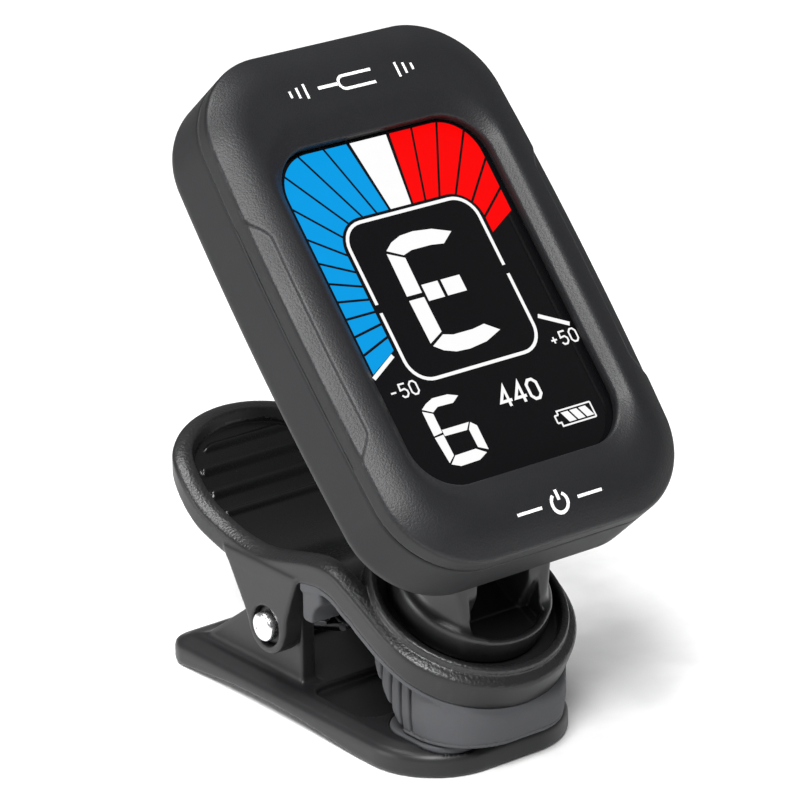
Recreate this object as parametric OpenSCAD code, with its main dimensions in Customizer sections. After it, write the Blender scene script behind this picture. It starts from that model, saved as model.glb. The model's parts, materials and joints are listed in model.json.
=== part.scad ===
/* [Display housing] */

// width of the display housing
head_w = 36; // [34:0.5:44]
// height of the display housing along its face
head_h = 54.5; // [50:0.5:66]
// corner radius of the housing outline
head_r = 8.5; // [7:0.25:11]
// depth of the housing from its front edge to its flat back
head_d = 9.2; // [8.9:0.1:13]
// rise of the front face above its outer edge
crown = 1.5; // [1:0.1:2]
// distance from the outer edge over which the face rises
crown_run = 4.1; // [3.5:0.1:4.1]
// distance of the seam between the two covers behind the front edge
seam = 1.9; // [1.7:0.1:2.1]
// wall thickness of both covers
wall = 1.5; // [1.2:0.1:1.6]
// width of the window opening
win_w = 25.2; // [24:0.2:25.4]
// height of the window opening
win_h = 36.4; // [34:0.2:36.6]
// corner radius of the window opening
win_r = 5; // [3:0.5:6]
// drop of the window's centre below the housing's centre
win_drop = 1.3; // [0.8:0.1:1.8]
// distance of the tilt hinge above the housing's lower end
hinge_up = 4.1; // [3.8:0.1:5]

/* [Placement] */

// height of the tilt hinge above the swivel seat
hinge_h = 7.2; // [6.9:0.1:8.2]
// lean of the display face back from upright
head_lean = 42; // [30:1:50]
// height of the swivel seat's centre
seat_z = 14.6; // [14.6:0.1:16]
// forward slope of the swivel seat
seat_slope = 27; // [26:0.5:28]
// height of the pivot pin's axis
pin_z = 9.4; // [9:0.1:9.8]
// distance of the pivot pin behind the housing's centre
pin_y = 14.6; // [13.8:0.1:15.4]

/* [Clip] */

// width of both clip arms
clip_w = 22.6; // [22:0.02:27.2]
// rear end of the upper handle
upper_end = 36.8; // [35:0.2:42]
// rear end of the lower handle
lower_end = 32.4; // [31:0.2:36]
// front end of the lower jaw
lower_tip = 10.2; // [9.6:0.1:11]
// height of the seat's side wall
seat_wall = 3.3; // [3.1:0.1:3.5]
// thickness of the lower arm at its sides
lower_t = 2.3; // [2.1:0.1:2.6]
// radius of the raised ring round the swivel
ring_r = 10.2; // [10:0.1:10.4]
// radius of the swivel neck's base
neck_r = 7.9; // [7.5:0.1:8.6]
// radius of the pivot pin
pin_r = 1.2; // [1:0.05:1.3]
// wire radius of the clip spring
wire_r = 0.45; // [0.35:0.05:0.5]

/* [Power] */

// radius of the coin cell
cell_r = 10; // [8:0.5:10]
// thickness of the coin cell
cell_t = 3.2; // [2:0.1:3.2]

/* [Hidden] */

$fn = 64;
eps = 0.01;
fit = 0.06;

half_w = clip_w / 2;
seat_y = -3.15;
seat_r = half_w;

// levels inside the housing, measured from the front edge plane, positive towards the viewer
lip_n = 0.5;
glass_n = -0.5;
glass_t = 0.8;
lcd_t = 1.35;
light_t = 0.85;
board_t = 0.8;
layer_gap = 0.05;
lcd_n = glass_n - glass_t - layer_gap;
light_n = lcd_n - lcd_t - layer_gap;
board_n = light_n - light_t - 0.15;
board_back = board_n - board_t;
back_in = wall - head_d;
cap_t = 0.9;
cap_r = cell_r + 1.6;
cell_n = -head_d + 1.1;
cell_v = 5.5;
button_v = -11.5;
sensor_v = -18.4;
button_r = 2.9;
press = 0.4;
lens_w = win_w + 2.4;
lens_h = win_h + 2.4;
lens_r = win_r + 1;
glass_w = win_w + 1.4;
glass_h = win_h + 1.2;
board_w = glass_w + 3.2;
board_h = glass_h + 5.4;
screw_x = head_w / 2 - 5.5;
screw_up = head_h / 2 - 5.25;
screw_low = 4 - head_h / 2;
post_r = 2.2;

// hinge of the housing on the neck, in the housing's own frame
hinge_gap = 3.0;
knuckle_r = 2.6;
knuckle_w = 5.6;
slot_w = 6.2;
hinge_n = -head_d - hinge_gap;
lean_y = [sin(head_lean), cos(head_lean)];
lean_n = [-cos(head_lean), sin(head_lean)];
slope_n = [-sin(seat_slope), cos(seat_slope)];
hinge_v = hinge_up - head_h / 2;
// the housing's centre in the part's frame, found from the hinge
hinge_at = [seat_y, seat_z] + hinge_h * slope_n;
head_at = hinge_at - hinge_v * lean_y - hinge_n * lean_n;

// swivel seat
floor_h = -0.4;
plate_h = -2.2;
neck_gap = 0.1;
hub_r = 3;
ear_x = 6.6;
ear_tip_r = 2.7;
tilt_r = 1.1;
rim_w = 0.84;
tail = 5.15;
ring_h = 1.4;

// clip arms
bevel = 1.6;
bevel_h = 0.6;
recess = 0.7;
jaw_gap = 0.3;
lower_ear_x = 8.6;
lower_ear_t = 1.8;
upper_ear_x = 9.0;
boss_r = 2.05;
coil_r = 2.4;
rib_h = 0.35;
turns = 5;

// ---- general shapes ----

module rounded_rect(w, h, r) {
  square([w - 2 * r, h], center = true);
  square([w, h - 2 * r], center = true);
  for (x = [-1, 1], y = [-1, 1])
    translate([x * (w / 2 - r), y * (h / 2 - r)]) circle(r);
}

// sweeps a profile round a rounded rectangle; profile x is measured outwards from the corner centres
module rim_sweep(w, h, r, low, high) {
  for (i = [0 : 3]) {
    sx = (i == 0 || i == 3) ? 1 : -1;
    sy = (i < 2) ? 1 : -1;
    translate([sx * (w / 2 - r), sy * (h / 2 - r), 0])
      rotate([0, 0, 90 * i]) rotate_extrude(angle = 90) children();
  }
  for (s = [0, 180]) {
    rotate([0, 0, s]) translate([w / 2 - r, 0, 0])
      rotate([90, 0, 0]) linear_extrude(h - 2 * r, center = true) children();
    rotate([0, 0, s + 90]) translate([h / 2 - r, 0, 0])
      rotate([90, 0, 0]) linear_extrude(w - 2 * r, center = true) children();
  }
  translate([r - w / 2, r - h / 2, low]) cube([w - 2 * r, h - 2 * r, high - low]);
}

// solid through a list of rings that hold the same number of points
module skin(rings) {
  n = len(rings[0]);
  m = len(rings);
  points = [for (ring = rings) for (p = ring) p];
  sides = [for (i = [0 : m - 2]) for (j = [0 : n - 1]) for (k = [0, 1])
    k == 0 ? [i * n + j, i * n + (j + 1) % n, (i + 1) * n + j]
           : [i * n + (j + 1) % n, (i + 1) * n + (j + 1) % n, (i + 1) * n + j]];
  first = [for (j = [n - 1 : -1 : 0]) j];
  last = [for (j = [0 : n - 1]) (m - 1) * n + j];
  polyhedron(points, concat([first], sides, [last]), convexity = 8);
}

module at_head() {
  translate([0, head_at[0], head_at[1]]) rotate([90 - head_lean, 0, 0]) children();
}

module at_seat() {
  translate([0, seat_y, seat_z]) rotate([seat_slope, 0, 0]) children();
}

module along_x(x0, x1) {
  translate([x0, 0, 0]) rotate([90, 0, 90]) linear_extrude(x1 - x0) children();
}

module rod_x(x0, x1, r) {
  translate([x0, 0, 0]) rotate([0, 90, 0]) cylinder(h = x1 - x0, r = r);
}

module screw_places() {
  for (x = [-1, 1], v = [screw_up, screw_low]) translate([x * screw_x, v, 0]) children();
}

// ---- side line of the upper arm ----

function seat_line(y) = seat_z + (y - seat_y) * tan(seat_slope);
knots = [
  [-3, seat_line(-3)],
  [1.4, seat_line(1.4)],
  [6.3, seat_line(1.4) + 1.35],
  [16.4, pin_z + 7.05],
  [24.6, pin_z + 8.5],
  [31, pin_z + 12],
  [upper_end + 0.4, pin_z + 14.4],
  [upper_end + 8, pin_z + 16.5]
];
function blend(a, b, c, d, t) =
  0.5 * (2 * b + (c - a) * t + (2 * a - 5 * b + 4 * c - d) * t * t
  + (3 * b - a - 3 * c + d) * t * t * t);
last_knot = len(knots) - 2;
top_line = concat(
  [for (i = [1 : last_knot - 1]) for (t = [0 : 0.2 : 0.99])
    blend(knots[i - 1], knots[i], knots[i + 1], knots[i + 2], t)],
  [knots[last_knot]]
);
function ease(t) = let (u = min(1, max(0, t))) u * u * (3 - 2 * u);
function side_t(y) = seat_wall - (seat_wall - 2) * ease((y + 1) / 8);
function up_at(y) = let (a = seat_slope * (1 - ease((y - 1.4) / 5))) [-sin(a), cos(a)];
function line_at(y) = lookup(y, top_line);

// side view of a band that follows the arm's top line between two heights measured from that line
function edge_at(p, h) = [p[0] + h * up_at(p[0])[0], p[1] + h * up_at(p[0])[1]];
module band(line, h0, h1) {
  n = len(line);
  polygon(concat([for (p = line) edge_at(p, h1)], [for (i = [n - 1 : -1 : 0]) edge_at(line[i], h0)]));
}
module arm_band(line) {
  n = len(line);
  polygon(concat(
    [for (p = line) p],
    [for (i = [n - 1 : -1 : 0]) edge_at(line[i], -side_t(line[i][0]))]
  ));
}
module liner_band(line, sink, t) {
  n = len(line);
  polygon(concat(
    [for (p = line) edge_at(p, sink - side_t(p[0]))],
    [for (i = [n - 1 : -1 : 0]) edge_at(line[i], -side_t(line[i][0]) - t)]
  ));
}

module handle_plan(inset, front) {
  end_r = half_w + 1.05;
  intersection() {
    union() {
      translate([-half_w - 2, front]) square([clip_w + 4, upper_end - end_r - front]);
      translate([0, upper_end - end_r]) circle(end_r - inset, $fn = 96);
    }
    translate([inset - half_w - 1, front - 1]) square([clip_w + 2 - 2 * inset, upper_end + 2 - front]);
  }
}

// ---- housing ----

module crown_profile() {
  steps = 6;
  r = head_r;
  arc = [for (i = [0 : steps]) [r - crown_run * i / steps, crown * sin(90 * i / steps)]];
  polygon(concat([[0, -seam], [r, -seam]], arc, [[0, crown]]));
}

module front_cover() {
  color([0.13, 0.13, 0.14]) at_head() {
    difference() {
      rim_sweep(head_w, head_h, head_r, -seam, crown) crown_profile();
      translate([0, -win_drop, 0]) hull() {
        translate([0, 0, crown]) linear_extrude(eps)
          rounded_rect(win_w + 2.5, win_h + 4.6, win_r + 1.5, $fn = 32);
        translate([0, 0, lip_n]) linear_extrude(eps) rounded_rect(win_w, win_h, win_r, $fn = 32);
      }
      translate([0, -win_drop, glass_n - eps]) linear_extrude(2) rounded_rect(win_w, win_h, win_r);
      translate([0, 0, -seam - eps]) linear_extrude(seam + glass_n + eps)
        rounded_rect(head_w - 2 * wall, head_h - 2 * wall, head_r - wall);
    }
    difference() {
      union() {
        translate([0, 0, -seam - 0.7]) linear_extrude(0.7 + seam + glass_n)
          difference() {
            rounded_rect(head_w - 2 * wall - 0.1, head_h - 2 * wall - 0.1, head_r - wall);
            rounded_rect(head_w - 2 * wall - 1.3, head_h - 2 * wall - 1.3, head_r - wall - 0.6);
          }
        screw_places() translate([0, 0, -seam]) cylinder(h = seam + glass_n + 0.2, r = post_r);
      }
      screw_places() translate([0, 0, -seam - 1]) cylinder(h = seam + 1.6, r = 0.7);
    }
  }
}

module back_profile() {
  f = 2;
  translate([0, -head_d]) square([head_r - f, head_d - seam]);
  translate([0, f - head_d]) square([head_r, head_d - seam - f]);
  intersection() {
    translate([head_r - f, f - head_d]) circle(f);
    translate([0, -head_d]) square([head_r, head_d]);
  }
}

module rear_cover() {
  color([0.16, 0.16, 0.17]) at_head() {
    difference() {
      union() {
        difference() {
          rim_sweep(head_w, head_h, head_r, -head_d, -seam) back_profile();
          translate([0, 0, back_in]) linear_extrude(head_d)
            rounded_rect(head_w - 2 * wall, head_h - 2 * wall, head_r - wall);
        }
        intersection() {
          screw_places() translate([0, 0, back_in - 0.2])
            cylinder(h = -seam - 0.8 - back_in, r = post_r);
          translate([0, 0, -head_d]) linear_extrude(head_d)
            rounded_rect(head_w - 1, head_h - 1, head_r - 0.5);
        }
        translate([0, cell_v, back_in - 0.2]) difference() {
          cylinder(h = 2.6, r = cap_r + 1);
          translate([0, 0, -1]) cylinder(h = 5, r = cap_r + 0.15);
        }
        knuckle();
      }
      translate([0, cell_v, -head_d - 1]) cylinder(h = 1 + cap_t + 0.05, r = cap_r + fit);
      translate([0, cell_v, -head_d - 1]) cylinder(h = 6, r = cap_r - 0.7);
      for (a = [60 : 120 : 300]) translate([0, cell_v, -head_d + 0.2]) rotate([0, 0, a])
        rotate_extrude(angle = 34) translate([cap_r - 2, 0]) square([1.98, 3]);
      translate([0, button_v, -head_d - 1]) cylinder(h = 3, r = button_r + fit);
      screw_places() translate([0, 0, -head_d - 1]) cylinder(h = head_d, r = 0.95);
      screw_places() translate([0, 0, -head_d - 1]) cylinder(h = 3.4, r = 1.75);
      translate([0, hinge_v, hinge_n]) rod_x(-knuckle_w, knuckle_w, tilt_r + 0.05);
    }
  }
}

module knuckle() {
  translate([0, hinge_v, hinge_n]) rod_x(-knuckle_w / 2, knuckle_w / 2, knuckle_r);
  translate([-knuckle_w / 2, hinge_v - 2.1, hinge_n]) cube([knuckle_w, 2.1 + knuckle_r, hinge_gap + 0.4]);
}

module display_window() {
  color([0.02, 0.02, 0.02]) at_head() translate([0, -win_drop, glass_n - glass_t])
    linear_extrude(glass_t) rounded_rect(lens_w, lens_h, lens_r);
}

module lcd_panel() {
  color([0.25, 0.28, 0.32]) at_head() translate([0, -win_drop, lcd_n - lcd_t]) {
    linear_extrude(lcd_t / 2 + eps) square([glass_w, glass_h], center = true);
    translate([0, 0.6, lcd_t / 2]) linear_extrude(lcd_t / 2) square([glass_w, glass_h - 1.2], center = true);
  }
}

module backlight() {
  color([0.92, 0.92, 0.9]) at_head() translate([0, -win_drop, light_n - light_t]) difference() {
    linear_extrude(light_t) square([glass_w, glass_h], center = true);
    translate([0, 0, light_t - 0.15]) linear_extrude(1) square([glass_w - 2, glass_h - 2], center = true);
  }
}

module lcd_pins() {
  pitch = 1.8;
  count = 13;
  color([0.75, 0.75, 0.72]) at_head()
    for (i = [0 : count - 1])
      translate([(i - (count - 1) / 2) * pitch - 0.2, -win_drop - glass_h / 2 - 0.55, board_n])
        cube([0.4, 0.4, lcd_n - lcd_t + 0.5 - board_n]);
}

module main_board() {
  color([0.05, 0.3, 0.14]) at_head() translate([0, 0, board_back]) difference() {
    linear_extrude(board_t) translate([0, -win_drop + 0.3]) square([board_w, board_h], center = true);
    screw_places() translate([0, 0, -1]) cylinder(h = 3, r = post_r + 0.3);
  }
}

module tuner_chip() {
  color([0.04, 0.04, 0.04]) at_head() translate([-9.6, button_v, board_back - 0.45])
    cube([5.6, 5.6, 0.9], center = true);
}

module clock_crystal() {
  color([0.8, 0.8, 0.8]) at_head() translate([9.4, -13.5, board_back - 0.6]) rotate([90, 0, 0])
    cylinder(h = 5, r = 0.6, center = true);
}

module tact_switch() {
  base = 1.3;
  plunger = back_in + 0.05 + 0.5 + press + 0.1;
  color([0.1, 0.1, 0.1]) at_head() translate([0, button_v, 0]) {
    translate([-2.3, -2.3, board_back - base]) cube([4.6, 4.6, base]);
    translate([0, 0, plunger]) cylinder(h = board_back - base - plunger + eps, r = 1.1);
  }
}

module piezo_sensor() {
  color([0.8, 0.62, 0.25]) at_head() translate([0, sensor_v, back_in]) {
    cylinder(h = 0.25, r = 3.4);
    translate([0, 0, 0.25 - eps]) cylinder(h = 0.2, r = 2.3);
  }
}

module cell_spring() {
  cell_top = cell_n + cell_t;
  color([0.8, 0.78, 0.7]) at_head() translate([0, cell_v, 0]) {
    translate([-4, -2, board_back - 0.2]) cube([8, 4, 0.2]);
    for (x = [-1, 1]) translate([x * 2.5, 0, cell_top]) cylinder(h = board_back - cell_top - 0.1, r = 0.9);
  }
}

module cell_side_contact() {
  cell_top = cell_n + cell_t;
  color([0.8, 0.78, 0.7]) at_head() translate([0, cell_v, 0]) {
    translate([cell_r + 0.03, -2, cell_top - 1.2]) cube([0.18, 4, board_back - cell_top + 1.2]);
    translate([cell_r + 0.03, -2, board_back - 0.2]) cube([1.6, 4, 0.2]);
  }
}

module coin_cell() {
  color([0.78, 0.79, 0.8]) at_head() translate([0, cell_v, cell_n]) {
    cylinder(h = cell_t - 0.5, r = cell_r);
    translate([0, 0, cell_t - 0.5 - eps]) cylinder(h = 0.5 + eps, r = cell_r - 1.2);
  }
}

module housing_screws() {
  head_low = -head_d + 1.0;
  color([0.35, 0.35, 0.37]) at_head() screw_places() difference() {
    union() {
      translate([0, 0, head_low]) cylinder(h = 1.4, r = 1.6);
      translate([0, 0, head_low + 1]) cylinder(h = -seam + 0.4 - head_low - 1, r = 0.69);
    }
    for (a = [0, 90]) rotate([0, 0, a]) translate([-1.1, -0.2, head_low - 1]) cube([2.2, 0.4, 1.6]);
  }
}

module battery_cap() {
  skirt = cell_r + 0.25;
  color([0.14, 0.14, 0.15]) at_head() translate([0, cell_v, -head_d]) {
    difference() {
      cylinder(h = cap_t, r = cap_r);
      translate([-6.5, -0.9, -1]) cube([13, 1.8, 1.5]);
    }
    difference() {
      translate([0, 0, cap_t - eps]) cylinder(h = 1.4, r = cap_r - 0.8);
      translate([0, 0, cap_t]) cylinder(h = 3, r = skirt);
    }
    for (a = [5 : 120 : 245]) rotate([0, 0, a]) rotate_extrude(angle = 24)
      translate([skirt + 0.1, wall + 0.08]) square([cap_r - 0.1 - skirt - 0.1, 0.7]);
  }
}

module mode_button() {
  color([0.2, 0.2, 0.21]) at_head() translate([0, button_v, -head_d]) {
    difference() {
      translate([0, 0, -0.5]) cylinder(h = wall + 0.6, r = button_r);
      translate([0, 0, -6.3]) sphere(r = 6);
    }
    translate([0, 0, wall + 0.05]) cylinder(h = 0.5, r = button_r + 0.5);
  }
}

// ---- swivel ----

module swivel_neck() {
  low = floor_h + neck_gap;
  color([0.12, 0.12, 0.13]) at_seat() difference() {
    union() {
      rotate_extrude() polygon([
        [0, low], [neck_r, low], [neck_r, 1.5], [neck_r - 0.25, 2.3], [neck_r - 0.9, 2.9], [0, 2.9]
      ]);
      intersection() {
        rotate_extrude() polygon([
          [0, 1], [neck_r - 0.3, 1], [neck_r - 0.4, 2.4], [neck_r - 0.8, 3.8], [ear_x + 0.2, 5.4],
          [ear_x, hinge_h], [ear_x - 0.9, hinge_h + 2.4], [ear_x - 2.2, hinge_h + 4], [0, hinge_h + 4]
        ]);
        along_x(-neck_r, neck_r) hull() {
          translate([0, hinge_h]) circle(ear_tip_r, $fn = 48);
          translate([-4.7, 1]) square([9.4, 2.8]);
          translate([-5.6, 1]) square([11.2, 0.8]);
        }
      }
      translate([0, 0, plate_h - 0.1]) cylinder(h = 3, r = hub_r);
    }
    translate([-slot_w / 2, -9, 2.92]) cube([slot_w, 18, 20]);
    intersection() {
      translate([-slot_w / 2, -9, 1.6]) cube([slot_w, 18, 20]);
      cylinder(h = 20, r = neck_r - 0.8);
    }
    translate([0, 0, plate_h - 1]) cylinder(h = 3.4, r = 0.9);
    translate([0, 0, hinge_h]) {
      rod_x(-ear_x - 1, ear_x + 1, tilt_r + 0.02);
      rod_x(-ear_x - 1, -ear_x + 1.3, 1.95);
      translate([ear_x - 1.5, 0, 0]) rotate([0, 90, 0]) cylinder(h = 3, r = 2.02, $fn = 6);
    }
  }
}

module tilt_screw() {
  color([0.6, 0.6, 0.62]) at_seat() translate([0, 0, hinge_h]) difference() {
    union() {
      rod_x(-ear_x + 0.4, ear_x - 0.5, tilt_r);
      rod_x(-ear_x + 0.3, -ear_x + 1.3, 1.85);
    }
    for (a = [0, 90]) rotate([a, 0, 0]) translate([-ear_x - 1, -1.2, -0.2]) cube([1.9, 2.4, 0.4]);
  }
}

module tilt_nut() {
  color([0.6, 0.6, 0.62]) at_seat() translate([ear_x - 1.5, 0, hinge_h]) rotate([0, 90, 0]) difference() {
    cylinder(h = 1.1, r = 1.98, $fn = 6);
    translate([0, 0, -1]) cylinder(h = 4, r = tilt_r + 0.01);
  }
}

module swivel_screw() {
  color([0.6, 0.6, 0.62]) at_seat() {
    translate([0, 0, plate_h - 1.55]) cylinder(h = 0.9, r = 1.8);
    translate([0, 0, plate_h - 0.8]) cylinder(h = 2.6, r = 0.88);
  }
}

module swivel_washer() {
  color([0.72, 0.72, 0.7]) at_seat() translate([0, 0, plate_h - 0.65]) difference() {
    cylinder(h = 0.55, r = 4.3);
    translate([0, 0, -1]) cylinder(h = 3, r = 0.92);
  }
}

// ---- clip ----

module seat_outline(inset, length) {
  circle(seat_r - inset, $fn = 96);
  translate([inset - seat_r, 0]) square([2 * (seat_r - inset), length]);
}

module seat_body() {
  section = [[0, -seat_wall], [seat_r, -seat_wall], [seat_r, 0], [seat_r - bevel, bevel_h], [0, bevel_h]];
  rotate([0, 0, 180]) rotate_extrude(angle = 180, $fn = 96) polygon(section);
  for (s = [0, 1]) mirror([s, 0, 0]) rotate([90, 0, 0])
    translate([0, 0, -tail]) linear_extrude(tail) polygon(section);
}

module arm_layer(inset, rise) {
  intersection() {
    along_x(inset - half_w, half_w - inset) band(top_line, -1, rise);
    linear_extrude(60) handle_plan(inset, 0);
  }
}

module upper_ears() {
  for (s = [0, 1]) mirror([s, 0, 0]) along_x(upper_ear_x, half_w) hull() {
    translate([pin_y, pin_z]) circle(2.9, $fn = 48);
    translate([9.2, pin_z + 5.6]) square([12.6, 0.9]);
  }
}

module upper_arm() {
  color([0.14, 0.14, 0.15]) difference() {
    union() {
      at_seat() seat_body();
      intersection() {
        along_x(-half_w, half_w) arm_band(top_line);
        linear_extrude(60) handle_plan(0, 0);
      }
      arm_layer(bevel / 2, bevel_h / 2);
      arm_layer(bevel, bevel_h);
      at_seat() translate([0, 0, -1])
        cylinder(h = 1 + ring_h, r1 = ring_r + 0.1, r2 = ring_r - 0.05, $fn = 96);
      upper_ears();
    }
    intersection() {
      difference() {
        along_x(bevel + 0.4 - half_w, half_w - bevel - 0.4)
          band([for (p = top_line) if (p[0] > 6.9) p], -recess, 4);
        for (y = [25 : 2.5 : 33]) along_x(-half_w + 4, half_w - 4)
          translate([y, 10]) square([0.6, line_at(y) - recess + 0.3 - 10]);
      }
      linear_extrude(60) handle_plan(bevel + 1.4, 7);
    }
    at_seat() translate([0, 0, -seat_wall - 1]) linear_extrude(1 + seat_wall + plate_h)
      seat_outline(1.5, 3.2);
    at_seat() translate([0, 0, floor_h]) cylinder(h = 6, r = ring_r - rim_w, $fn = 96);
    at_seat() translate([0, 0, -8]) cylinder(h = 10, r = hub_r + fit);
    translate([0, pin_y, pin_z]) rod_x(-half_w - 1, half_w + 1, boss_r + 0.07);
  }
}

// the jaw pad's full body, rounded in plan, with bulging sides
module barrel(inset) {
  low = lower_t + 1;
  corner = 6;
  out = corner - inset;
  rim_sweep(17.6, 18.6, corner, low, low + 10) polygon([
    [0, low], [out - 0.8, low], [out - 0.2, low + 0.5], [out, low + 2.2], [out, low + 4.4],
    [out - 0.2, low + 6.6], [out - 0.6, low + 8.4], [out - 1.2, low + 10], [0, low + 10]
  ]);
}

module upper_pad() {
  pad_top = -seat_wall;
  pad_t = 0.6;
  sink = 0.2;
  hook_y = 9.1;
  color([0.36, 0.36, 0.37]) difference() {
    union() {
      at_seat() translate([0, 0, pad_top - pad_t]) linear_extrude(pad_t) seat_outline(0.15, tail + pad_t);
      at_seat() translate([0, 0, pad_top - eps]) linear_extrude(-pad_top + plate_h - 0.05)
        seat_outline(1.56, 3.1);
      at_seat() translate([0.15 - half_w, tail, pad_top - pad_t]) cube([clip_w - 0.3, pad_t, seat_wall]);
      along_x(0.15 - half_w, half_w - 0.15)
        liner_band([for (p = top_line) if (p[0] > 1.8 && p[0] < hook_y) p], sink, pad_t);
      along_x(-half_w + 0.4, half_w - 0.4) difference() {
        translate([6.2, pin_z + 2.3]) square([hook_y - 6.2, pin_z - 2.75]);
        translate([5.2, pin_z + 2.6]) circle(2.3);
        translate([0, pin_z + 6.6]) square([20, 5]);
      }
      intersection() {
        translate([0, -3, 0]) difference() {
          barrel(0);
          difference() {
            for (s = [0, 1]) mirror([s, 0, 0]) for (a = [-12 : 10 : 28]) rotate([0, 0, a])
              translate([5, -0.17, 0]) cube([8, 0.34, 16]);
            barrel(0.45);
          }
        }
        at_seat() translate([0, 0, pad_top - 20]) linear_extrude(20 - pad_t / 2)
          square(40, center = true);
        translate([0, -2.6, lower_t + 1]) rotate([50, 0, 0]) translate([-20, -40, 0]) cube([40, 80, 40]);
      }
    }
    along_x(-half_w - 1, half_w + 1) arm_band(top_line);
    at_seat() translate([0, 0, plate_h - 2.4]) cylinder(h = 4, r = 5);
  }
}

module lower_plan_half(r) {
  section = [[0, 0], [r, 0], [r, lower_t], [r - min(bevel, r), lower_t + bevel_h], [0, lower_t + bevel_h]];
  length = lower_end + lower_tip;
  translate([0, (lower_end - lower_tip) / 2, 0])
    rim_sweep(clip_w, length, r, 0, lower_t + bevel_h) polygon(section);
}

module lower_arm() {
  arch = 1.1;
  reach = 14.8;
  arch_y = 15.1;
  arch_r = (reach * reach + arch * arch) / (2 * arch);
  ear_low = lower_t + 0.2;
  top = lower_t + bevel_h;
  color([0.14, 0.14, 0.15]) difference() {
    union() {
      difference() {
        union() {
          intersection() {
            lower_plan_half(8);
            translate([-50, -50, -1]) cube([100, 62, 20]);
          }
          intersection() {
            lower_plan_half(3);
            translate([-50, 12 - eps, -1]) cube([100, 62, 20]);
          }
        }
        translate([0, arch_y, arch - arch_r]) rod_x(-50, 50, arch_r, $fn = 360);
        translate([-50, lower_end - 1.6, 0]) rotate([28, 0, 0]) translate([0, 0, -5]) cube([100, 10, 5]);
        translate([0, 6.3, lower_t - 0.1]) linear_extrude(5) rounded_rect(clip_w - 5, 9.5, 2);
        translate([0, -4.2, lower_t - 0.1]) linear_extrude(5) rounded_rect(17.2, 10.6, 4);
      }
      intersection() {
        translate([0, 24.8, 1.4]) rotate([0, 0, 90]) rim_sweep(6.4, 17, 3, -1.3, 0.4)
          polygon([[0, -1.3], [2, -1.3], [2.7, -0.6], [3, 0.4], [0, 0.4]]);
        translate([-20, 15, 0.05]) cube([40, 15, 3]);
      }
      for (s = [0, 1]) mirror([s, 0, 0]) {
        along_x(lower_ear_x - lower_ear_t, lower_ear_x) intersection() {
          hull() {
            translate([pin_y, pin_z]) circle(3.2, $fn = 48);
            translate([12.3, ear_low]) square([16.7, 0.8]);
          }
          translate([12.3, 0]) square([30, 30]);
        }
        translate([0, pin_y, pin_z]) rod_x(lower_ear_x - eps, half_w - 0.7, boss_r);
      }
      for (y = [21.6 : 2.4 : 28.8]) translate([-5.5, y, top - 0.2]) cube([11, 0.7, 0.2 + rib_h]);
    }
    translate([0, pin_y, pin_z]) rod_x(-half_w, half_w, pin_r + 0.02);
  }
}

module lower_pad() {
  base = lower_t - 0.1;
  color([0.36, 0.36, 0.37]) {
    translate([0, -4.2, base]) linear_extrude(1 - jaw_gap + 0.1) rounded_rect(17, 10.4, 3.9);
    for (y = [-7.6 : 1.7 : -0.6]) translate([-6.4, y, base + 0.7]) cube([12.8, 0.6, 0.25]);
  }
}

module pivot_pin() {
  face = half_w - 0.7;
  color([0.85, 0.85, 0.86]) translate([0, pin_y, pin_z]) {
    rod_x(-face - 0.1, face + 0.1, pin_r);
    for (s = [0, 1]) mirror([s, 0, 0]) {
      rod_x(face + 0.02, face + 1.1, 1.5);
      translate([face + 1.1 - eps, 0, 0]) rotate([0, 90, 0]) cylinder(h = 0.3, r1 = 1.5, r2 = 1.15);
    }
  }
}

// path of the spring's wire: lower leg, coil, upper leg
function coil_point(a, x) = [x, pin_y - coil_r * sin(a), pin_z + coil_r * cos(a)];
module clip_spring() {
  span = turns * 2 * wire_r * 1.12;
  start = 200;
  total = 360 * turns + 150;
  steps = 96;
  coil = [for (i = [0 : steps]) let (t = i / steps) coil_point(start - total * t, -span / 2 + span * t)];
  low_end = [-span / 2 - 0.3, pin_y + 10.2, lower_t + bevel_h + rib_h + wire_r + 0.1];
  high_end = [span / 2 + 0.3, pin_y + 9.8, pin_z + 5.15];
  path = concat([low_end], coil, [high_end]);
  n = len(path);
  sides = 8;
  function dir(i) = let (a = path[max(0, i - 1)], b = path[min(n - 1, i + 1)]) (b - a) / norm(b - a);
  rings = [for (i = [0 : n - 1])
    let (t = dir(i), u0 = cross(t, [1, 0, 0.001]), u = u0 / norm(u0), v = cross(t, u))
    [for (j = [0 : sides - 1]) path[i] + wire_r * (cos(360 * j / sides) * u + sin(360 * j / sides) * v)]];
  color([0.7, 0.7, 0.72]) skin(rings);
}

front_cover();
rear_cover();
display_window();
lcd_panel();
backlight();
lcd_pins();
main_board();
tuner_chip();
clock_crystal();
tact_switch();
piezo_sensor();
cell_spring();
cell_side_contact();
coin_cell();
housing_screws();
battery_cap();
mode_button();
swivel_neck();
tilt_screw();
tilt_nut();
swivel_screw();
swivel_washer();
upper_arm();
upper_pad();
lower_arm();
lower_pad();
pivot_pin();
clip_spring();
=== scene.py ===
"""A clip-on tuner: display housing on a tilting neck, carried by a sprung clip with rubber pads."""

import json
import math

import bmesh
import bpy
import numpy as np
from bpy.props import FloatProperty, FloatVectorProperty, IntProperty, PointerProperty
from mathutils import Matrix, Vector

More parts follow.
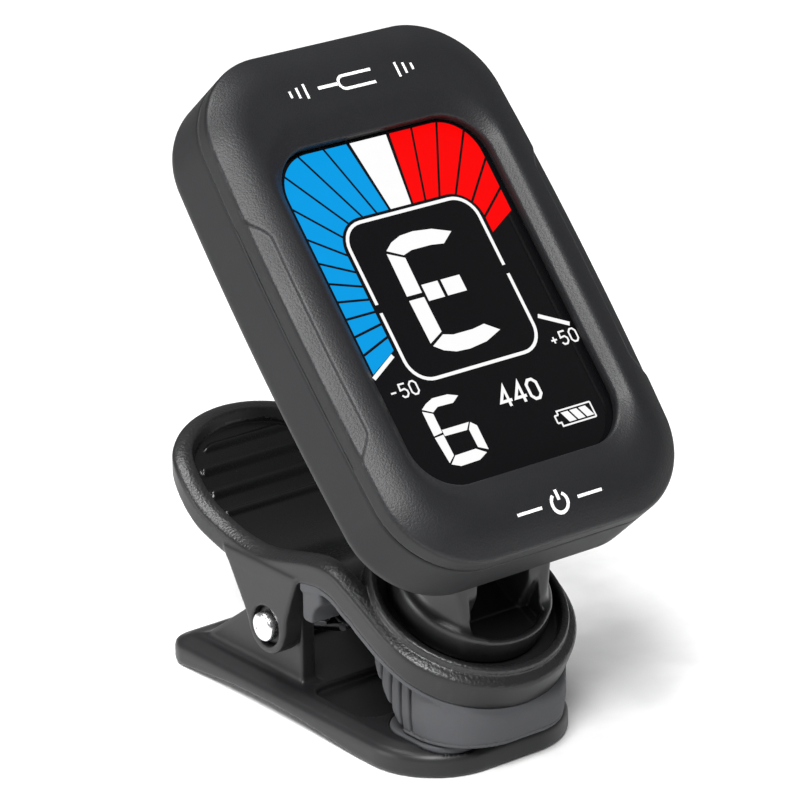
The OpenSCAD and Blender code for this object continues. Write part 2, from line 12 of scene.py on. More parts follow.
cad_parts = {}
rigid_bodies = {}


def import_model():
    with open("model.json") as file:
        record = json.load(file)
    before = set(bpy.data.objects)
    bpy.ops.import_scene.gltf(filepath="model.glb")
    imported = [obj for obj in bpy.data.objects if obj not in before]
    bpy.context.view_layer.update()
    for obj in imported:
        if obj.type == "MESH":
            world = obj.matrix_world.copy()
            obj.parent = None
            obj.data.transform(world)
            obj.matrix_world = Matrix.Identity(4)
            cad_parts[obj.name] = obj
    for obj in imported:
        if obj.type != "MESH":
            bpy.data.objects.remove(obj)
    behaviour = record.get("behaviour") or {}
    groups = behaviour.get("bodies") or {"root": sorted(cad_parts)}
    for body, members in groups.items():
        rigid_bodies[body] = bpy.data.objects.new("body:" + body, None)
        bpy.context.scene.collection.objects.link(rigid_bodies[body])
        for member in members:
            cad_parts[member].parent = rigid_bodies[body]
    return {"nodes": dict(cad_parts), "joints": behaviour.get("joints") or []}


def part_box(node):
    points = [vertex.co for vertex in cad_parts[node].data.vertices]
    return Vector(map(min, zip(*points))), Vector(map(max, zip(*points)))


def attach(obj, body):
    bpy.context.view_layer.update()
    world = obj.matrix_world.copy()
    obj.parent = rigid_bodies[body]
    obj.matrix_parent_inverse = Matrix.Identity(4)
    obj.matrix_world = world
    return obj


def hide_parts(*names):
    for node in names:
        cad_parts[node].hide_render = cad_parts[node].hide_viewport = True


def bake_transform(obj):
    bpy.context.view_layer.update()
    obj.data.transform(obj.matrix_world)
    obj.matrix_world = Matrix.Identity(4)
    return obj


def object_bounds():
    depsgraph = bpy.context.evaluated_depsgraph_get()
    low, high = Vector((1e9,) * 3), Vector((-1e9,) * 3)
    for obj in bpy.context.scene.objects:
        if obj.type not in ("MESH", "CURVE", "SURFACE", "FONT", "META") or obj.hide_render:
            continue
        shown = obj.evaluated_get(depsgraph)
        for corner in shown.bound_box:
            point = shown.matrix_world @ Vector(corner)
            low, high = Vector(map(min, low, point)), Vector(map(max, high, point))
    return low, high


bl_info = {
    "name": "Clip-on Tuner",
    "version": (1, 0, 0),
    "blender": (4, 5, 0),
    "location": "View3D > Sidebar > Tuner",
    "description": "Builds a clip-on instrument tuner piece by piece",
    "category": "Object",
}

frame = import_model()
CAD_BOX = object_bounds()
NODES = frame["nodes"]
JOINTS = {joint["name"]: joint for joint in frame["joints"]}
MM = 0.001


# ---- places: each has its own across, along and above directions ----


class Place:
    """A local set of directions: u across, v along and n above. All lengths are in millimetres."""

    def __init__(self, origin, above=(0, 0, 1)):
        self.origin = np.array(origin, float)
        self.above = np.array(above, float)
        self.along = np.array((0, above[2], -above[1]), float)

    def local(self, x, y, z):
        y = y - self.origin[1]
        z = z - self.origin[2]
        v = y * self.along[1] + z * self.along[2]
        return x - self.origin[0], v, y * self.above[1] + z * self.above[2]

    def world(self, u, v, n):
        y = self.origin[1] + v * self.along[1] + n * self.above[1]
        z = self.origin[2] + v * self.along[2] + n * self.above[2]
        return np.stack(np.broadcast_arrays(u + self.origin[0], y, z), -1)

    def matrix(self):
        """Turns local millimetres into metres in the part's frame."""
        turn = np.stack([(1, 0, 0), self.along, self.above], 1) * MM
        rows = [list(turn[i]) + [self.origin[i] * MM] for i in range(3)]
        return Matrix(rows + [[0, 0, 0, 1]])


def joint_point(name):
    return np.array(JOINTS[name]["pos_m"]) / MM


CELL_V = 5.5
HOUSING_DEPTH = 9.2
HEAD_UP = np.array(JOINTS["button_press"]["axis"])
HEAD_ALONG = np.array((0, HEAD_UP[2], -HEAD_UP[1]))
HEAD = Place(joint_point("cap_turn") - CELL_V * HEAD_ALONG + HOUSING_DEPTH * HEAD_UP, HEAD_UP)
SEAT = Place(joint_point("swivel"), JOINTS["swivel"]["axis"])
PART = Place((0, 0, 0))
PIN = joint_point("clip_open")
HINGE = joint_point("tilt")
BUTTON_V = -11.5


# ---- sizes and colours ----


def size(name, description, millimetres):
    return FloatProperty(
        name=name, description=description, default=millimetres * MM, min=0, unit="LENGTH", precision=5
    )


def colour(name, description, value):
    return FloatVectorProperty(
        name=name, description=description, default=value, size=3, min=0, max=1, subtype="COLOR"
    )


class HousingSizes(bpy.types.PropertyGroup):
    width: size("Width", "Width of the display housing", 36)
    height: size("Height", "Height of the display housing along its face", 54.5)
    corner: size("Corner", "Radius of the housing's corners", 8.5)
    bow: size("Bow", "How far the long sides draw in towards the ends", 0.54)
    crown: size("Crown", "Rise of the face above its outer edge", 1.5)
    crown_run: size("Crown run", "Width over which the face rises", 4.1)
    seam: size("Seam", "Distance of the seam behind the front edge", 1.9)
    wall: size("Wall", "Wall thickness of both covers", 1.5)
    back_round: size("Back rounding", "Radius round the edge of the back", 2.0)
    glass_drop: size("Glass drop", "Depth of the window below the front edge", 0.5)
    grip_depth: size("Grip depth", "Depth of the thumb grips on the long edges", 0.16)


class DisplaySizes(bpy.types.PropertyGroup):
    frame_line: size("Frame line", "Width of the line round the note", 0.34)
    bar_gap: size("Bar gap", "Dark gap between two bars of the scale", 0.26)
    thickness: size("Thickness", "Thickness of the lit shapes", 0.03)
    bars_flat: IntProperty(name="Flat bars", description="Lit bars on the flat side", default=12, min=1)
    bars_sharp: IntProperty(name="Sharp bars", description="Lit bars on the sharp side", default=6, min=1)


class ClipSizes(bpy.types.PropertyGroup):
    width: size("Width", "Width of both arms", 22.6)
    upper_end: size("Upper handle", "Distance of the upper handle's end behind the housing", 36.75)
    lower_end: size("Lower handle", "Distance of the lower handle's end behind the housing", 32.4)
    lower_tip: size("Lower jaw", "Distance of the lower jaw's tip in front of the housing", 10.2)
    band: size("Band", "Width of the raised band along the upper arm's edge", 1.6)
    recess: size("Recess", "Depth of the handle's inner floor", 0.7)
    ring: size("Ring", "Radius of the raised ring round the neck", 10.2)
    rib_gap: size("Rib gap", "Distance between the handle's cross ribs", 2.5)


class Finishes(bpy.types.PropertyGroup):
    housing: colour("Housing", "Colour of both covers", (0.011, 0.0112, 0.0125))
    clip: colour("Clip", "Colour of the clip arms", (0.009, 0.009, 0.0098))
    rubber: colour("Rubber", "Colour of the jaw pads", (0.046, 0.047, 0.051))
    flat_bars: colour("Flat bars", "Colour of the flat side of the scale", (0.0, 0.352, 0.831))
    sharp_bars: colour("Sharp bars", "Colour of the sharp side of the scale", (1.0, 0.0, 0.0))
    printed: colour("Printed marks", "Colour of the marks printed on the face", (0.74, 0.74, 0.74))


GROUPS = {
    "tuner_housing": HousingSizes,
    "tuner_display": DisplaySizes,
    "tuner_clip": ClipSizes,
    "tuner_finish": Finishes,
}


class Sizes:
    """Gives a property group's lengths in millimetres."""

    def __init__(self, group):
        self.group = getattr(bpy.context.scene, group)

    def __getattr__(self, name):
        return getattr(self.group, name) / MM


# ---- solids as distance fields: negative inside, millimetres ----


def rounded_rect(a, b, half_a, half_b, radius):
    qa = np.abs(a) - (half_a - radius)
    qb = np.abs(b) - (half_b - radius)
    return np.hypot(np.maximum(qa, 0), np.maximum(qb, 0)) + np.minimum(np.maximum(qa, qb), 0) - radius


def both(blend, first, *others):
    """The space inside every field, its edges rounded over about the blend's length."""
    for other in others:
        near = np.maximum(blend - np.abs(first - other), 0) / blend
        first = np.maximum(first, other) + near * near * blend / 4
    return first


def join(blend, first, *others):
    """The space inside any field, its inner corners filled over about the blend's length."""
    return -both(blend, -first, *[-other for other in others])


def cut(blend, solid, *tools):
    return both(blend, solid, *[-tool for tool in tools])


def between(value, low, high):
    return np.maximum(low - value, value - high)


def ease(t):
    t = np.clip(t, 0, 1)
    return t * t * (3 - 2 * t)


CORNERS = np.array([(i, j, k) for i in (0, 1) for j in (0, 1) for k in (0, 1)])


def crossings(values, cells):
    """Mean point where the surface crosses each cell's twelve edges, in cell units."""
    total = np.zeros((len(cells), 3))
    count = np.zeros((len(cells), 1))
    for start in CORNERS:
        for axis in range(3):
            if start[axis]:
                continue
            end = start.copy()
            end[axis] = 1
            a = values[tuple((cells + start).T)]
            b = values[tuple((cells + end).T)]
            hit = (a < 0) != (b < 0)
            t = (a[hit] / (a[hit] - b[hit]))[:, None]
            total[hit] += start + t * (end - start)
            count[hit] += 1
    return total / count


def settle(field, points, step):
    """Moves the points onto the surface along its slope."""
    for _ in range(3):
        distance = field(*points.T)
        slope = np.stack(
            [field(*(points + d).T) - field(*(points - d).T) for d in np.eye(3) * step * 0.1], 1
        ) / (step * 0.2)
        steep = np.maximum((slope**2).sum(1), 0.05)
        move = (distance / steep)[:, None] * slope
        points = points - np.clip(move, -step * 0.5, step * 0.5)
    return points


def surface(field, low, high, step):
    """Closed quads round a field, in local millimetres."""
    axes = [np.arange(a - 1.5 * step, b + 2.6 * step, step) for a, b in zip(low, high)]
    grid = [axis.reshape([-1 if i == j else 1 for j in range(3)]) for i, axis in enumerate(axes)]
    values = np.broadcast_to(field(*grid), [len(axis) for axis in axes])
    inside = values < 0
    parts = [slice(None, -1), slice(1, None)]
    count = sum(inside[parts[i], parts[j], parts[k]].astype(np.int8) for i, j, k in CORNERS)
    active = (count > 0) & (count < 8)
    number = np.full(active.shape, -1)
    number[active] = np.arange(active.sum())
    cells = np.argwhere(active)
    origin = np.array([axis[0] for axis in axes])
    points = settle(field, origin + step * (cells + crossings(values, cells)), step)
    quads = []
    for axis in range(3):
        first = [slice(None)] * 3
        second = [slice(None)] * 3
        first[axis], second[axis] = parts
        b, c = (axis + 1) % 3, (axis + 2) % 3
        for leaving in (True, False):
            edges = np.argwhere((inside[tuple(first)] == leaving) & (inside[tuple(second)] != leaving))
            back_b, back_c = np.zeros(3, int), np.zeros(3, int)
            back_b[b], back_c[c] = 1, 1
            ring = [edges - back_b - back_c, edges - back_c, edges, edges - back_b]
            faces = np.stack([number[tuple(corner.T)] for corner in ring], 1)
            quads.append(faces if leaving else faces[:, ::-1])
    return points, np.concatenate(quads)


# ---- pieces ----


def placed(name, data):
    """Puts a finished mesh, light or camera in the scene as an object of its own."""
    made = bpy.data.objects.new(name, data)
    bpy.context.scene.collection.objects.link(made)
    return made


def mesh_object(name, points, faces):
    mesh = bpy.data.meshes.new(name)
    mesh.from_pydata(points.tolist(), [], faces.tolist())
    mesh.update()
    mesh.validate()
    return placed(name, mesh)


def moulded(name, field, low, high, step, place=PART):
    """A smooth moulded piece from a distance field."""
    points, quads = surface(field, low, high, step)
    piece = mesh_object(name, place.world(*points.T) * MM, quads)
    for polygon in piece.data.polygons:
        polygon.use_smooth = True
    return piece


def smooth_by_angle(mesh, degrees=30):
    mesh.set_sharp_from_angle(angle=math.radians(degrees))
    for polygon in mesh.polygons:
        polygon.use_smooth = True


def from_bmesh(name, bm, *matrices):
    """Ends a bmesh as a piece, moved by each matrix in turn."""
    mesh = bpy.data.meshes.new(name)
    bm.to_mesh(mesh)
    bm.free()
    for matrix in matrices:
        mesh.transform(matrix)
    smooth_by_angle(mesh)
    return placed(name, mesh)


def plates(name, outlines, low, high, place, bevel=0.0):
    """Flat shapes with a thickness: each outline is a list of (u, v) in millimetres, anticlockwise."""
    bm = bmesh.new()
    for outline in outlines:
        face = bm.faces.new([bm.verts.new((u, v, low)) for u, v in outline])
        top = bmesh.ops.extrude_face_region(bm, geom=[face])["geom"]
        raised = [part for part in top if isinstance(part, bmesh.types.BMVert)]
        bmesh.ops.translate(bm, verts=raised, vec=(0, 0, high - low))
    bmesh.ops.recalc_face_normals(bm, faces=bm.faces)
    if bevel:
        rims = [edge for edge in bm.edges if abs(edge.calc_face_angle(0)) > 1.0]
        bmesh.ops.bevel(bm, geom=rims, offset=bevel, segments=3, profile=0.5, affect="EDGES")
    bmesh.ops.triangulate(bm, faces=[face for face in bm.faces if len(face.verts) > 4])
    return from_bmesh(name, bm, place.matrix())


def turned(name, profile, place, turn, segments=64):
    """A turned piece: profile is a list of (radius, height) from one pole to the other."""
    bm = bmesh.new()
    rings = []
    for radius, height in profile:
        if radius < 1e-6:
            rings.append([bm.verts.new((0, 0, height))])
            continue
        angles = [2 * math.pi * i / segments for i in range(segments)]
        rings.append([bm.verts.new((radius * math.cos(a), radius * math.sin(a), height)) for a in angles])
    for lower, upper in zip(rings, rings[1:]):
        for i in range(segments):
            j = (i + 1) % segments
            corners = [ring[k % len(ring)] for ring, k in ((lower, i), (lower, j), (upper, j), (upper, i))]
            bm.faces.new(list(dict.fromkeys(corners)))
    bmesh.ops.recalc_face_normals(bm, faces=bm.faces)
    return from_bmesh(name, bm, turn, place.matrix())


def face_facts(mesh):
    """The middle of every face in millimetres, and its direction."""
    facts = []
    for fact in ("center", "normal"):
        rows = np.zeros(len(mesh.polygons) * 3)
        mesh.polygons.foreach_get(fact, rows)
        facts.append(rows.reshape(-1, 3))
    return facts[0] / MM, facts[1]


def finish_piece(piece, body, slot, material, *nodes):
    """Puts a piece on its body, gives it its materials and hides the plain nodes that it stands for; the slot
    is not used.
    """
    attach(piece, body)
    if nodes:
        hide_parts(*nodes)
    piece.data.materials.clear()
    for one in material if isinstance(material, list) else [material]:
        piece.data.materials.append(one)
    return piece


def paint_node(node, material):
    """Gives a node whose shape is kept a better finish."""
    NODES[node].data.materials.clear()
    NODES[node].data.materials.append(material)


# ---- nodes ----


def put(tree, kind, inputs=(), **settings):
    """Adds a node, sets it up and wires or sets its inputs."""
    node = tree.nodes.new(kind)
    for key, value in settings.items():
        setattr(node, key, value)
    for key, value in dict(inputs).items():
        if isinstance(value, bpy.types.NodeSocket):
            tree.links.new(value, node.inputs[key])
        else:
            node.inputs[key].default_value = value
    return node


class Tree:
    """A small geometry node tree with named inputs."""

    def __init__(self, name, inputs):
        self.tree = bpy.data.node_groups.new(name, "GeometryNodeTree")
        self.ids = {}
        for label, kind, default in inputs:
            socket = self.tree.interface.new_socket(label, in_out="INPUT", socket_type=kind)
            if default is not None:
                socket.default_value = default
            self.ids[label] = socket.identifier
        self.tree.interface.new_socket("Geometry", in_out="OUTPUT", socket_type="NodeSocketGeometry")
        self.start = self.tree.nodes.new("NodeGroupInput")
        self.end = self.tree.nodes.new("NodeGroupOutput")

    def add(self, kind, inputs=(), **settings):
        """Adds a node and gives its first output."""
        return put(self.tree, kind, inputs, **settings).outputs[0]

    def given(self, label):
        return self.start.outputs[label]

    def end_with(self, geometry):
        """Ends the tree in real geometry with its material."""
        real = self.add("GeometryNodeRealizeInstances", {"Geometry": geometry})
        painted = self.add("GeometryNodeSetMaterial", {"Geometry": real, "Material": self.given("Material")})
        self.tree.links.new(painted, self.end.inputs[0])

    def build(self, name, material, values, matrix):
        """Runs the tree and keeps its result as one plain mesh."""
        holder = placed(name + "_tree", bpy.data.meshes.new(name + "_tree"))
        modifier = holder.modifiers.new("Build", "NODES")
        modifier.node_group = self.tree
        for label, value in dict(values, Material=material).items():
            modifier[self.ids[label]] = value
        bpy.context.view_layer.update()
        shaped = holder.evaluated_get(bpy.context.evaluated_depsgraph_get())
        mesh = bpy.data.meshes.new_from_object(shaped)
        mesh.name = name
        bpy.data.objects.remove(holder)
        mesh.transform(matrix)
        smooth_by_angle(mesh)
        return placed(name, mesh)


# ---- shader groups and materials ----


def shader_group(name, inputs, outputs):
    group = bpy.data.node_groups.new(name, "ShaderNodeTree")
    for label, value in inputs:
        socket = group.interface.new_socket(label, in_out="INPUT", socket_type="NodeSocketFloat")
        socket.default_value = value
    for label in outputs:
        group.interface.new_socket(label, in_out="OUTPUT", socket_type="NodeSocketFloat")
    return group, group.nodes.new("NodeGroupInput"), group.nodes.new("NodeGroupOutput")


def maths(tree, operation, a, b=0.0, clamp=False):
    return put(tree, "ShaderNodeMath", {0: a, 1: b}, operation=operation, use_clamp=clamp).outputs[0]


def moulded_grain():
    """Fine spark texture, a slower cloudiness and a painted highlight on raised edges."""
    if "Moulded Grain" in bpy.data.node_groups:
        return bpy.data.node_groups["Moulded Grain"]
    group, given, result = shader_group(
        "Moulded Grain",
        [("Grain", 4200.0), ("Cells", 0.0), ("Wear", 0.4)],
        ["Height", "Tone", "Wear"],
    )
    place = put(group, "ShaderNodeTexCoord").outputs["Object"]
    fine = put(group, "ShaderNodeTexNoise", {"Vector": place, "Scale": given.outputs["Grain"], "Detail": 2.0})
    cells = put(
        group, "ShaderNodeTexVoronoi", {"Vector": place, "Scale": given.outputs["Grain"]},
        feature="SMOOTH_F1",
    )
    cloud = put(group, "ShaderNodeTexNoise", {"Vector": place, "Scale": 160.0, "Detail": 3.0})
    mix = put(
        group, "ShaderNodeMix",
        {"Factor": given.outputs["Cells"], "A": fine.outputs[0], "B": cells.outputs["Distance"]},
    )
    group.links.new(mix.outputs[0], result.inputs["Height"])
    tone = maths(group, "ADD", maths(group, "MULTIPLY", fine.outputs[0], 0.5), cloud.outputs[0])
    group.links.new(tone, result.inputs["Tone"])
    raised = put(group, "ShaderNodeNewGeometry").outputs["Pointiness"]
    # painted highlight: raised edges are lightened, in patches that follow the cloud noise
    edge = maths(group, "MULTIPLY", maths(group, "SUBTRACT", raised, 0.515), 14.0, clamp=True)
    highlight_mix = maths(group, "MULTIPLY", cloud.outputs[0], given.outputs["Wear"])
    painted_highlight = maths(group, "MULTIPLY", edge, highlight_mix)
    group.links.new(painted_highlight, result.inputs["Wear"])
    return group


def new_material(name):
    material = bpy.data.materials.new(name)
    material.use_nodes = True
    return material, material.node_tree, material.node_tree.nodes["Principled BSDF"]


def shade(base, share):
    return (*[c * share for c in base], 1)


def mixed(tree, mask, first, second):
    """A colour between two colours, chosen by a mask over the surface."""
    return put(tree, "ShaderNodeMix", {"A": first, "B": second, "Factor": mask}, data_type="RGBA").outputs[2]


def roughen(tree, shader, mask, low, high):
    rough = put(tree, "ShaderNodeMapRange", {"Value": mask, "To Min": low, "To Max": high})
    tree.links.new(rough.outputs[0], shader.inputs["Roughness"])


def emboss(tree, shader, height, strength, distance):
    bump = put(tree, "ShaderNodeBump", {"Height": height, "Strength": strength, "Distance": distance})
    tree.links.new(bump.outputs[0], shader.inputs["Normal"])


def plastic(name, base, roughness, grain, depth, wear, relief=0.000014, cells=0.0, spread=0.1, **sockets):
    """A moulded plastic or rubber with grain, cloudiness and a painted highlight on its raised edges."""
    name += "_finish"
    if name in bpy.data.materials:
        return bpy.data.materials[name]
    material, tree, shader = new_material(name)
    values = {"Grain": grain, "Cells": cells, "Wear": wear}
    surface_marks = put(tree, "ShaderNodeGroup", values, node_tree=moulded_grain()).outputs
    tones = mixed(tree, surface_marks["Tone"], shade(base, 0.86), shade(base, 1.12))
    # painted highlight: a lighter copy of the colour, mixed in on raised edges
    painted_highlight = (*[min(1, c * 1.5 + 0.006) for c in base], 1)
    highlight_mix = mixed(tree, surface_marks["Wear"], tones, painted_highlight)
    tree.links.new(highlight_mix, shader.inputs["Base Color"])
    roughen(tree, shader, surface_marks["Tone"], roughness - spread / 2, roughness + spread / 2)
    emboss(tree, shader, surface_marks["Height"], depth, relief)
    for label, value in sockets.items():
        shader.inputs[label.replace("_", " ")].default_value = value
    return material


def metal(name, base, roughness, stretch=(1, 1, 1)):
    """A metal with fine drawn or turned marks."""
    name += "_finish"
    if name in bpy.data.materials:
        return bpy.data.materials[name]
    material, tree, shader = new_material(name)
    shader.inputs["Metallic"].default_value = 1.0
    place = put(tree, "ShaderNodeTexCoord").outputs["Object"]
    drawn = put(tree, "ShaderNodeMapping", {"Vector": place, "Scale": stretch}).outputs[0]
    marks = put(tree, "ShaderNodeTexNoise", {"Vector": drawn, "Scale": 2600.0, "Detail": 4.0}).outputs[0]
    tree.links.new(mixed(tree, marks, shade(base, 0.8), shade(base, 1)), shader.inputs["Base Color"])
    roughen(tree, shader, marks, roughness * 0.7, roughness * 1.3)
    emboss(tree, shader, marks, 0.15, 0.00001)
    return material


def glowing(name, base, strength):
    """A lit display shape: its colour with the very faint cell pattern of a display."""
    material, tree, shader = new_material(name)
    place = put(tree, "ShaderNodeTexCoord").outputs["Object"]
    cells = put(tree, "ShaderNodeTexNoise", {"Vector": place, "Scale": 900.0, "Detail": 1.0}).outputs[0]
    tree.links.new(mixed(tree, cells, shade(base, 0.97), shade(base, 1)), shader.inputs["Emission Color"])
    constants = {"Base Color": (0, 0, 0, 1), "Emission Strength": strength, "Roughness": 0.5}
    for label, value in dict(constants, **{"Specular IOR Level": 0.1}).items():
        shader.inputs[label].default_value = value
    return material


# the user's colour that a finish follows, its share of that colour, and its surface, with the strength of the
# painted highlight on raised edges
FINISHES = {
    "housing_plastic": ("housing", 1, dict(
        roughness=0.4, grain=5200, depth=1.0, relief=0.00003, wear=0.2, Specular_IOR_Level=0.3,
    )),
    # painted shade: a darker copy of the housing plastic for the side band of the front cover, standing in
    # for the shade on that band
    "rim_plastic": ("housing", 0.55, dict(
        roughness=0.5, grain=4200, depth=0.3, wear=0.3, Specular_IOR_Level=0.26,
    )),
    "back_plastic": ("housing", 0.7, dict(
        roughness=0.5, grain=5200, depth=0.8, wear=0.4, Specular_IOR_Level=0.2,
    )),
    "neck_plastic": ("clip", 0.8, dict(roughness=0.36, grain=4200, depth=0.2, wear=0.4)),
    "clip_plastic": ("clip", 1, dict(
        roughness=0.4, grain=4200, depth=0.3, wear=0.5, Specular_IOR_Level=0.36,
    )),
    "clip_leather": ("clip", 1, dict(
        roughness=0.36, grain=3600, depth=0.9, relief=0.00007, cells=0.6, wear=0.1,
    )),
    "clip_polished": ("clip", 0.35, dict(
        roughness=0.24, grain=2000, depth=0.04, wear=0.0, Specular_IOR_Level=0.35,
    )),
    "pad_rubber": ("rubber", 1, dict(
        roughness=0.62, grain=2600, depth=0.2, wear=0.5, Specular_IOR_Level=0.35,
    )),
}


def finish(name):
    """A finish in one of the user's colours."""
    source, share, surface_settings = FINISHES[name]
    base = [c * share for c in getattr(bpy.context.scene.tuner_finish, source)]
    return plastic(name, base, **surface_settings)


# ---- housing ----


def housing_outline(u, v):
    """Distance from the housing's outline, its long sides gently bowed."""
    h = Sizes("tuner_housing")
    return rounded_rect(np.abs(u) + h.bow * (v / 20) ** 2, v, h.width / 2, h.height / 2, h.corner)


WINDOW_V = -1.3
WINDOW_HALF = (12.6, 18.2)
WINDOW_CORNER = 5.0
GLASS_REACH = 1.15
SLOPE_V = -1.37
SLOPE_HALF = (13.8, 20.52)
SLOPE_CORNER = 6.5
LIP_N = 0.5
SCREW_PLACES = [(x, v) for x in (-12.5, 12.5) for v in (22.0, -23.25)]
SCREW_LENGTH = 7.6
SCREW_POST_R = 2.2
GRIP_WIDTH = 1.75
GRIP_HALF = 13.6
GRIP_MIDDLE = -1.5


def window_edge(u, v):
    return rounded_rect(u, v - WINDOW_V, *WINDOW_HALF, WINDOW_CORNER)


def face_height(u, v, edge, sink=0.0):
    """Height of the front cover's face: its crown, sunk at the grips, and the slope down to the window."""
    h = Sizes("tuner_housing")
    crown = h.crown * np.sin(math.pi / 2 * np.clip(-edge / h.crown_run, 0, 1)) - sink
    lip = window_edge(u, v)
    border = rounded_rect(u, v - SLOPE_V, *SLOPE_HALF, SLOPE_CORNER)
    slope = LIP_N + (h.crown - LIP_N) * lip / np.maximum(lip - border, 0.2)
    return join(0.4, crown, slope)


def front_cover_field(u, v, n):
    h = Sizes("tuner_housing")
    edge = housing_outline(u, v)
    grip = np.abs(edge) - GRIP_WIDTH * ease((GRIP_HALF - np.abs(v - GRIP_MIDDLE)) / 3.4)
    top = face_height(u, v, edge, h.grip_depth * ease(-grip / 0.2))
    lip = window_edge(u, v)
    side = edge + 0.1 * ease(-grip / 0.2)
    shell = both(0.3, side, (n - top) * 0.85, -h.seam - n)
    shell = cut(0.15, shell, lip)
    cavity = np.maximum(edge + h.wall, n + h.glass_drop)
    shell = cut(0.1, shell, cavity)
    tongue = np.maximum(np.abs(edge + h.wall + 0.35) - 0.3, between(n, -h.seam - 0.7, -h.glass_drop))
    shell = join(0.05, shell, tongue)
    for x, w in SCREW_PLACES:
        bore = np.hypot(u - x, v - w)
        post = np.maximum(bore - SCREW_POST_R, between(n, -h.seam, -h.glass_drop + 0.2))
        shell = join(0.1, shell, post)
        shell = cut(0.1, shell, np.maximum(bore - 0.7, n + h.glass_drop + 0.1))
    return shell


def back_field(u, v, n):
    h = Sizes("tuner_housing")
    edge = housing_outline(u, v)
    a, b = edge + h.back_round, -HOUSING_DEPTH - n + h.back_round
    shell = np.hypot(np.maximum(a, 0), np.maximum(b, 0)) + np.minimum(np.maximum(a, b), 0) - h.back_round
    shell = both(0.25, shell, n + h.seam)
    inner = -HOUSING_DEPTH + h.wall
    shell = cut(0.1, shell, np.maximum(edge + h.wall, inner - n))
    for x, w in SCREW_PLACES:
        post = np.maximum(np.hypot(u - x, v - w) - SCREW_POST_R, between(n, inner - 0.2, -h.seam - 0.9))
        shell = join(0.1, shell, np.maximum(post, edge + 0.5))
    cell = np.hypot(u, v - CELL_V)
    wall = np.maximum(np.abs(cell - 12.2) - 0.4, between(n, inner - 0.2, inner + 2.4))
    shell = join(0.1, shell, wall)
    _, hinge_v, hinge_n = HEAD.local(*HINGE)
    knuckle = np.hypot(v - hinge_v, n - hinge_n) - 2.6
    block = rounded_rect(v - hinge_v - 0.25, n - (hinge_n + 1.8), 2.35, 1.8, 0.3)
    knuckle = both(0.3, join(0.1, knuckle, block), np.abs(u) - 2.8)
    shell = join(0.7, shell, knuckle)
    tools = [
        np.maximum(cell - 11.66, n + HOUSING_DEPTH - 0.95),
        np.maximum(cell - 10.9, n - inner - 0.1),
        np.maximum(np.hypot(u, v - BUTTON_V) - 2.96, n - inner - 0.1),
        np.maximum(np.hypot(v - hinge_v, n - hinge_n) - 1.15, n + HOUSING_DEPTH),
    ]
    for x, w in SCREW_PLACES:
        bore = np.hypot(u - x, v - w)
        tools.append(np.maximum(bore - 1.75, n + HOUSING_DEPTH - 2.4))
        tools.append(np.maximum(bore - 0.95, n + 2))
    return cut(0.2, shell, *tools)


def assign_rim(piece, rim_index, place, low, high):
    """Gives the side faces between two heights a material of their own."""
    centres, normals = face_facts(piece.data)
    _, _, n = place.local(*centres.T)
    steep = np.abs(normals @ place.above) < 0.5
    chosen = (n > low) & (n < high) & steep
    piece.data.polygons.foreach_set("material_index", np.where(chosen, rim_index, 0).astype(np.int32))


class TUNER_OT_front_cover(bpy.types.Operator):
    """Builds the front cover with its sloping window frame and thumb grips"""

    bl_idname = "tuner.front_cover"
    bl_label = "Front Cover"

    def execute(self, context):
        h = Sizes("tuner_housing")
        high = (h.width / 2, h.height / 2, h.crown)
        low = (-high[0], -high[1], -h.seam - 0.7)
        piece = moulded("front_cover", front_cover_field, low, high, 0.21, HEAD)
        materials = [finish("housing_plastic"), finish("rim_plastic")]
        finish_piece(piece, "head", "housing_plastic", materials, "front_cover")
        # painted shade on the side band: its faces take the darker copy of the housing plastic
        assign_rim(piece, 1, HEAD, -h.seam - 0.1, 0.15)
        return {"FINISHED"}


class TUNER_OT_rear_cover(bpy.types.Operator):
    """Builds the rear cover with the hinge knuckle, the battery opening and the screw pockets"""

    bl_idname = "tuner.rear_cover"
    bl_label = "Rear Cover"

    def execute(self, context):
        h = Sizes("tuner_housing")
        _, _, hinge_n = HEAD.local(*HINGE)
        low = (-h.width / 2, -h.height / 2, hinge_n - 2.7)
        high = (h.width / 2, h.height / 2, -h.seam)
        piece = moulded("rear_cover", back_field, low, high, 0.24, HEAD)
        finish_piece(piece, "head", "housing_plastic", finish("back_plastic"), "rear_cover")
        return {"FINISHED"}


def battery_cap_field(u, v, n):
    cell = np.hypot(u, v)
    cap = both(0.2, cell - 11.53, between(n, 0.03, 0.9))
    slot = both(0.1, np.abs(v) - 0.9, np.abs(u) - 6.5, n - 0.5)
    cap = cut(0.15, cap, slot)
    for side in (-1, 1):
        dimple = np.hypot(np.hypot(u - side * 8.6, v), n + 0.3) - 0.9
        cap = cut(0.1, cap, dimple)
    skirt = both(0.1, cell - 10.75, 10.3 - cell, between(n, 0.8, 2.25))
    turn = np.degrees(np.arctan2(v, u)) % 120
    lug = both(0.1, cell - 11.45, 10.4 - cell, between(n, 1.6, 2.25), between(turn, 5.5, 28.5) * 0.18)
    return join(0.15, cap, skirt, lug)


def mode_button_field(u, v, n):
    side = np.hypot(u, v)
    button = both(0.3, side - 2.88, between(n, -0.5, 2.05))
    button = cut(0.2, button, np.hypot(side, n + 6.3) - 6)
    return join(0.05, button, both(0.1, side - 3.38, between(n, 1.56, 2.04)))


class TUNER_OT_battery_cap(bpy.types.Operator):
    """Builds the battery cap with its coin slot, skirt and locking lugs"""

    bl_idname = "tuner.battery_cap"
    bl_label = "Battery Cap"

    def execute(self, context):
        place = Place(HEAD.world(0, CELL_V, -HOUSING_DEPTH), HEAD_UP)
        piece = moulded("battery_cap", battery_cap_field, (-11.6, -11.6, 0), (11.6, 11.6, 2.3), 0.18, place)
        finish_piece(piece, "cell_cap", "housing_plastic", finish("back_plastic"), "battery_cap")
        return {"FINISHED"}


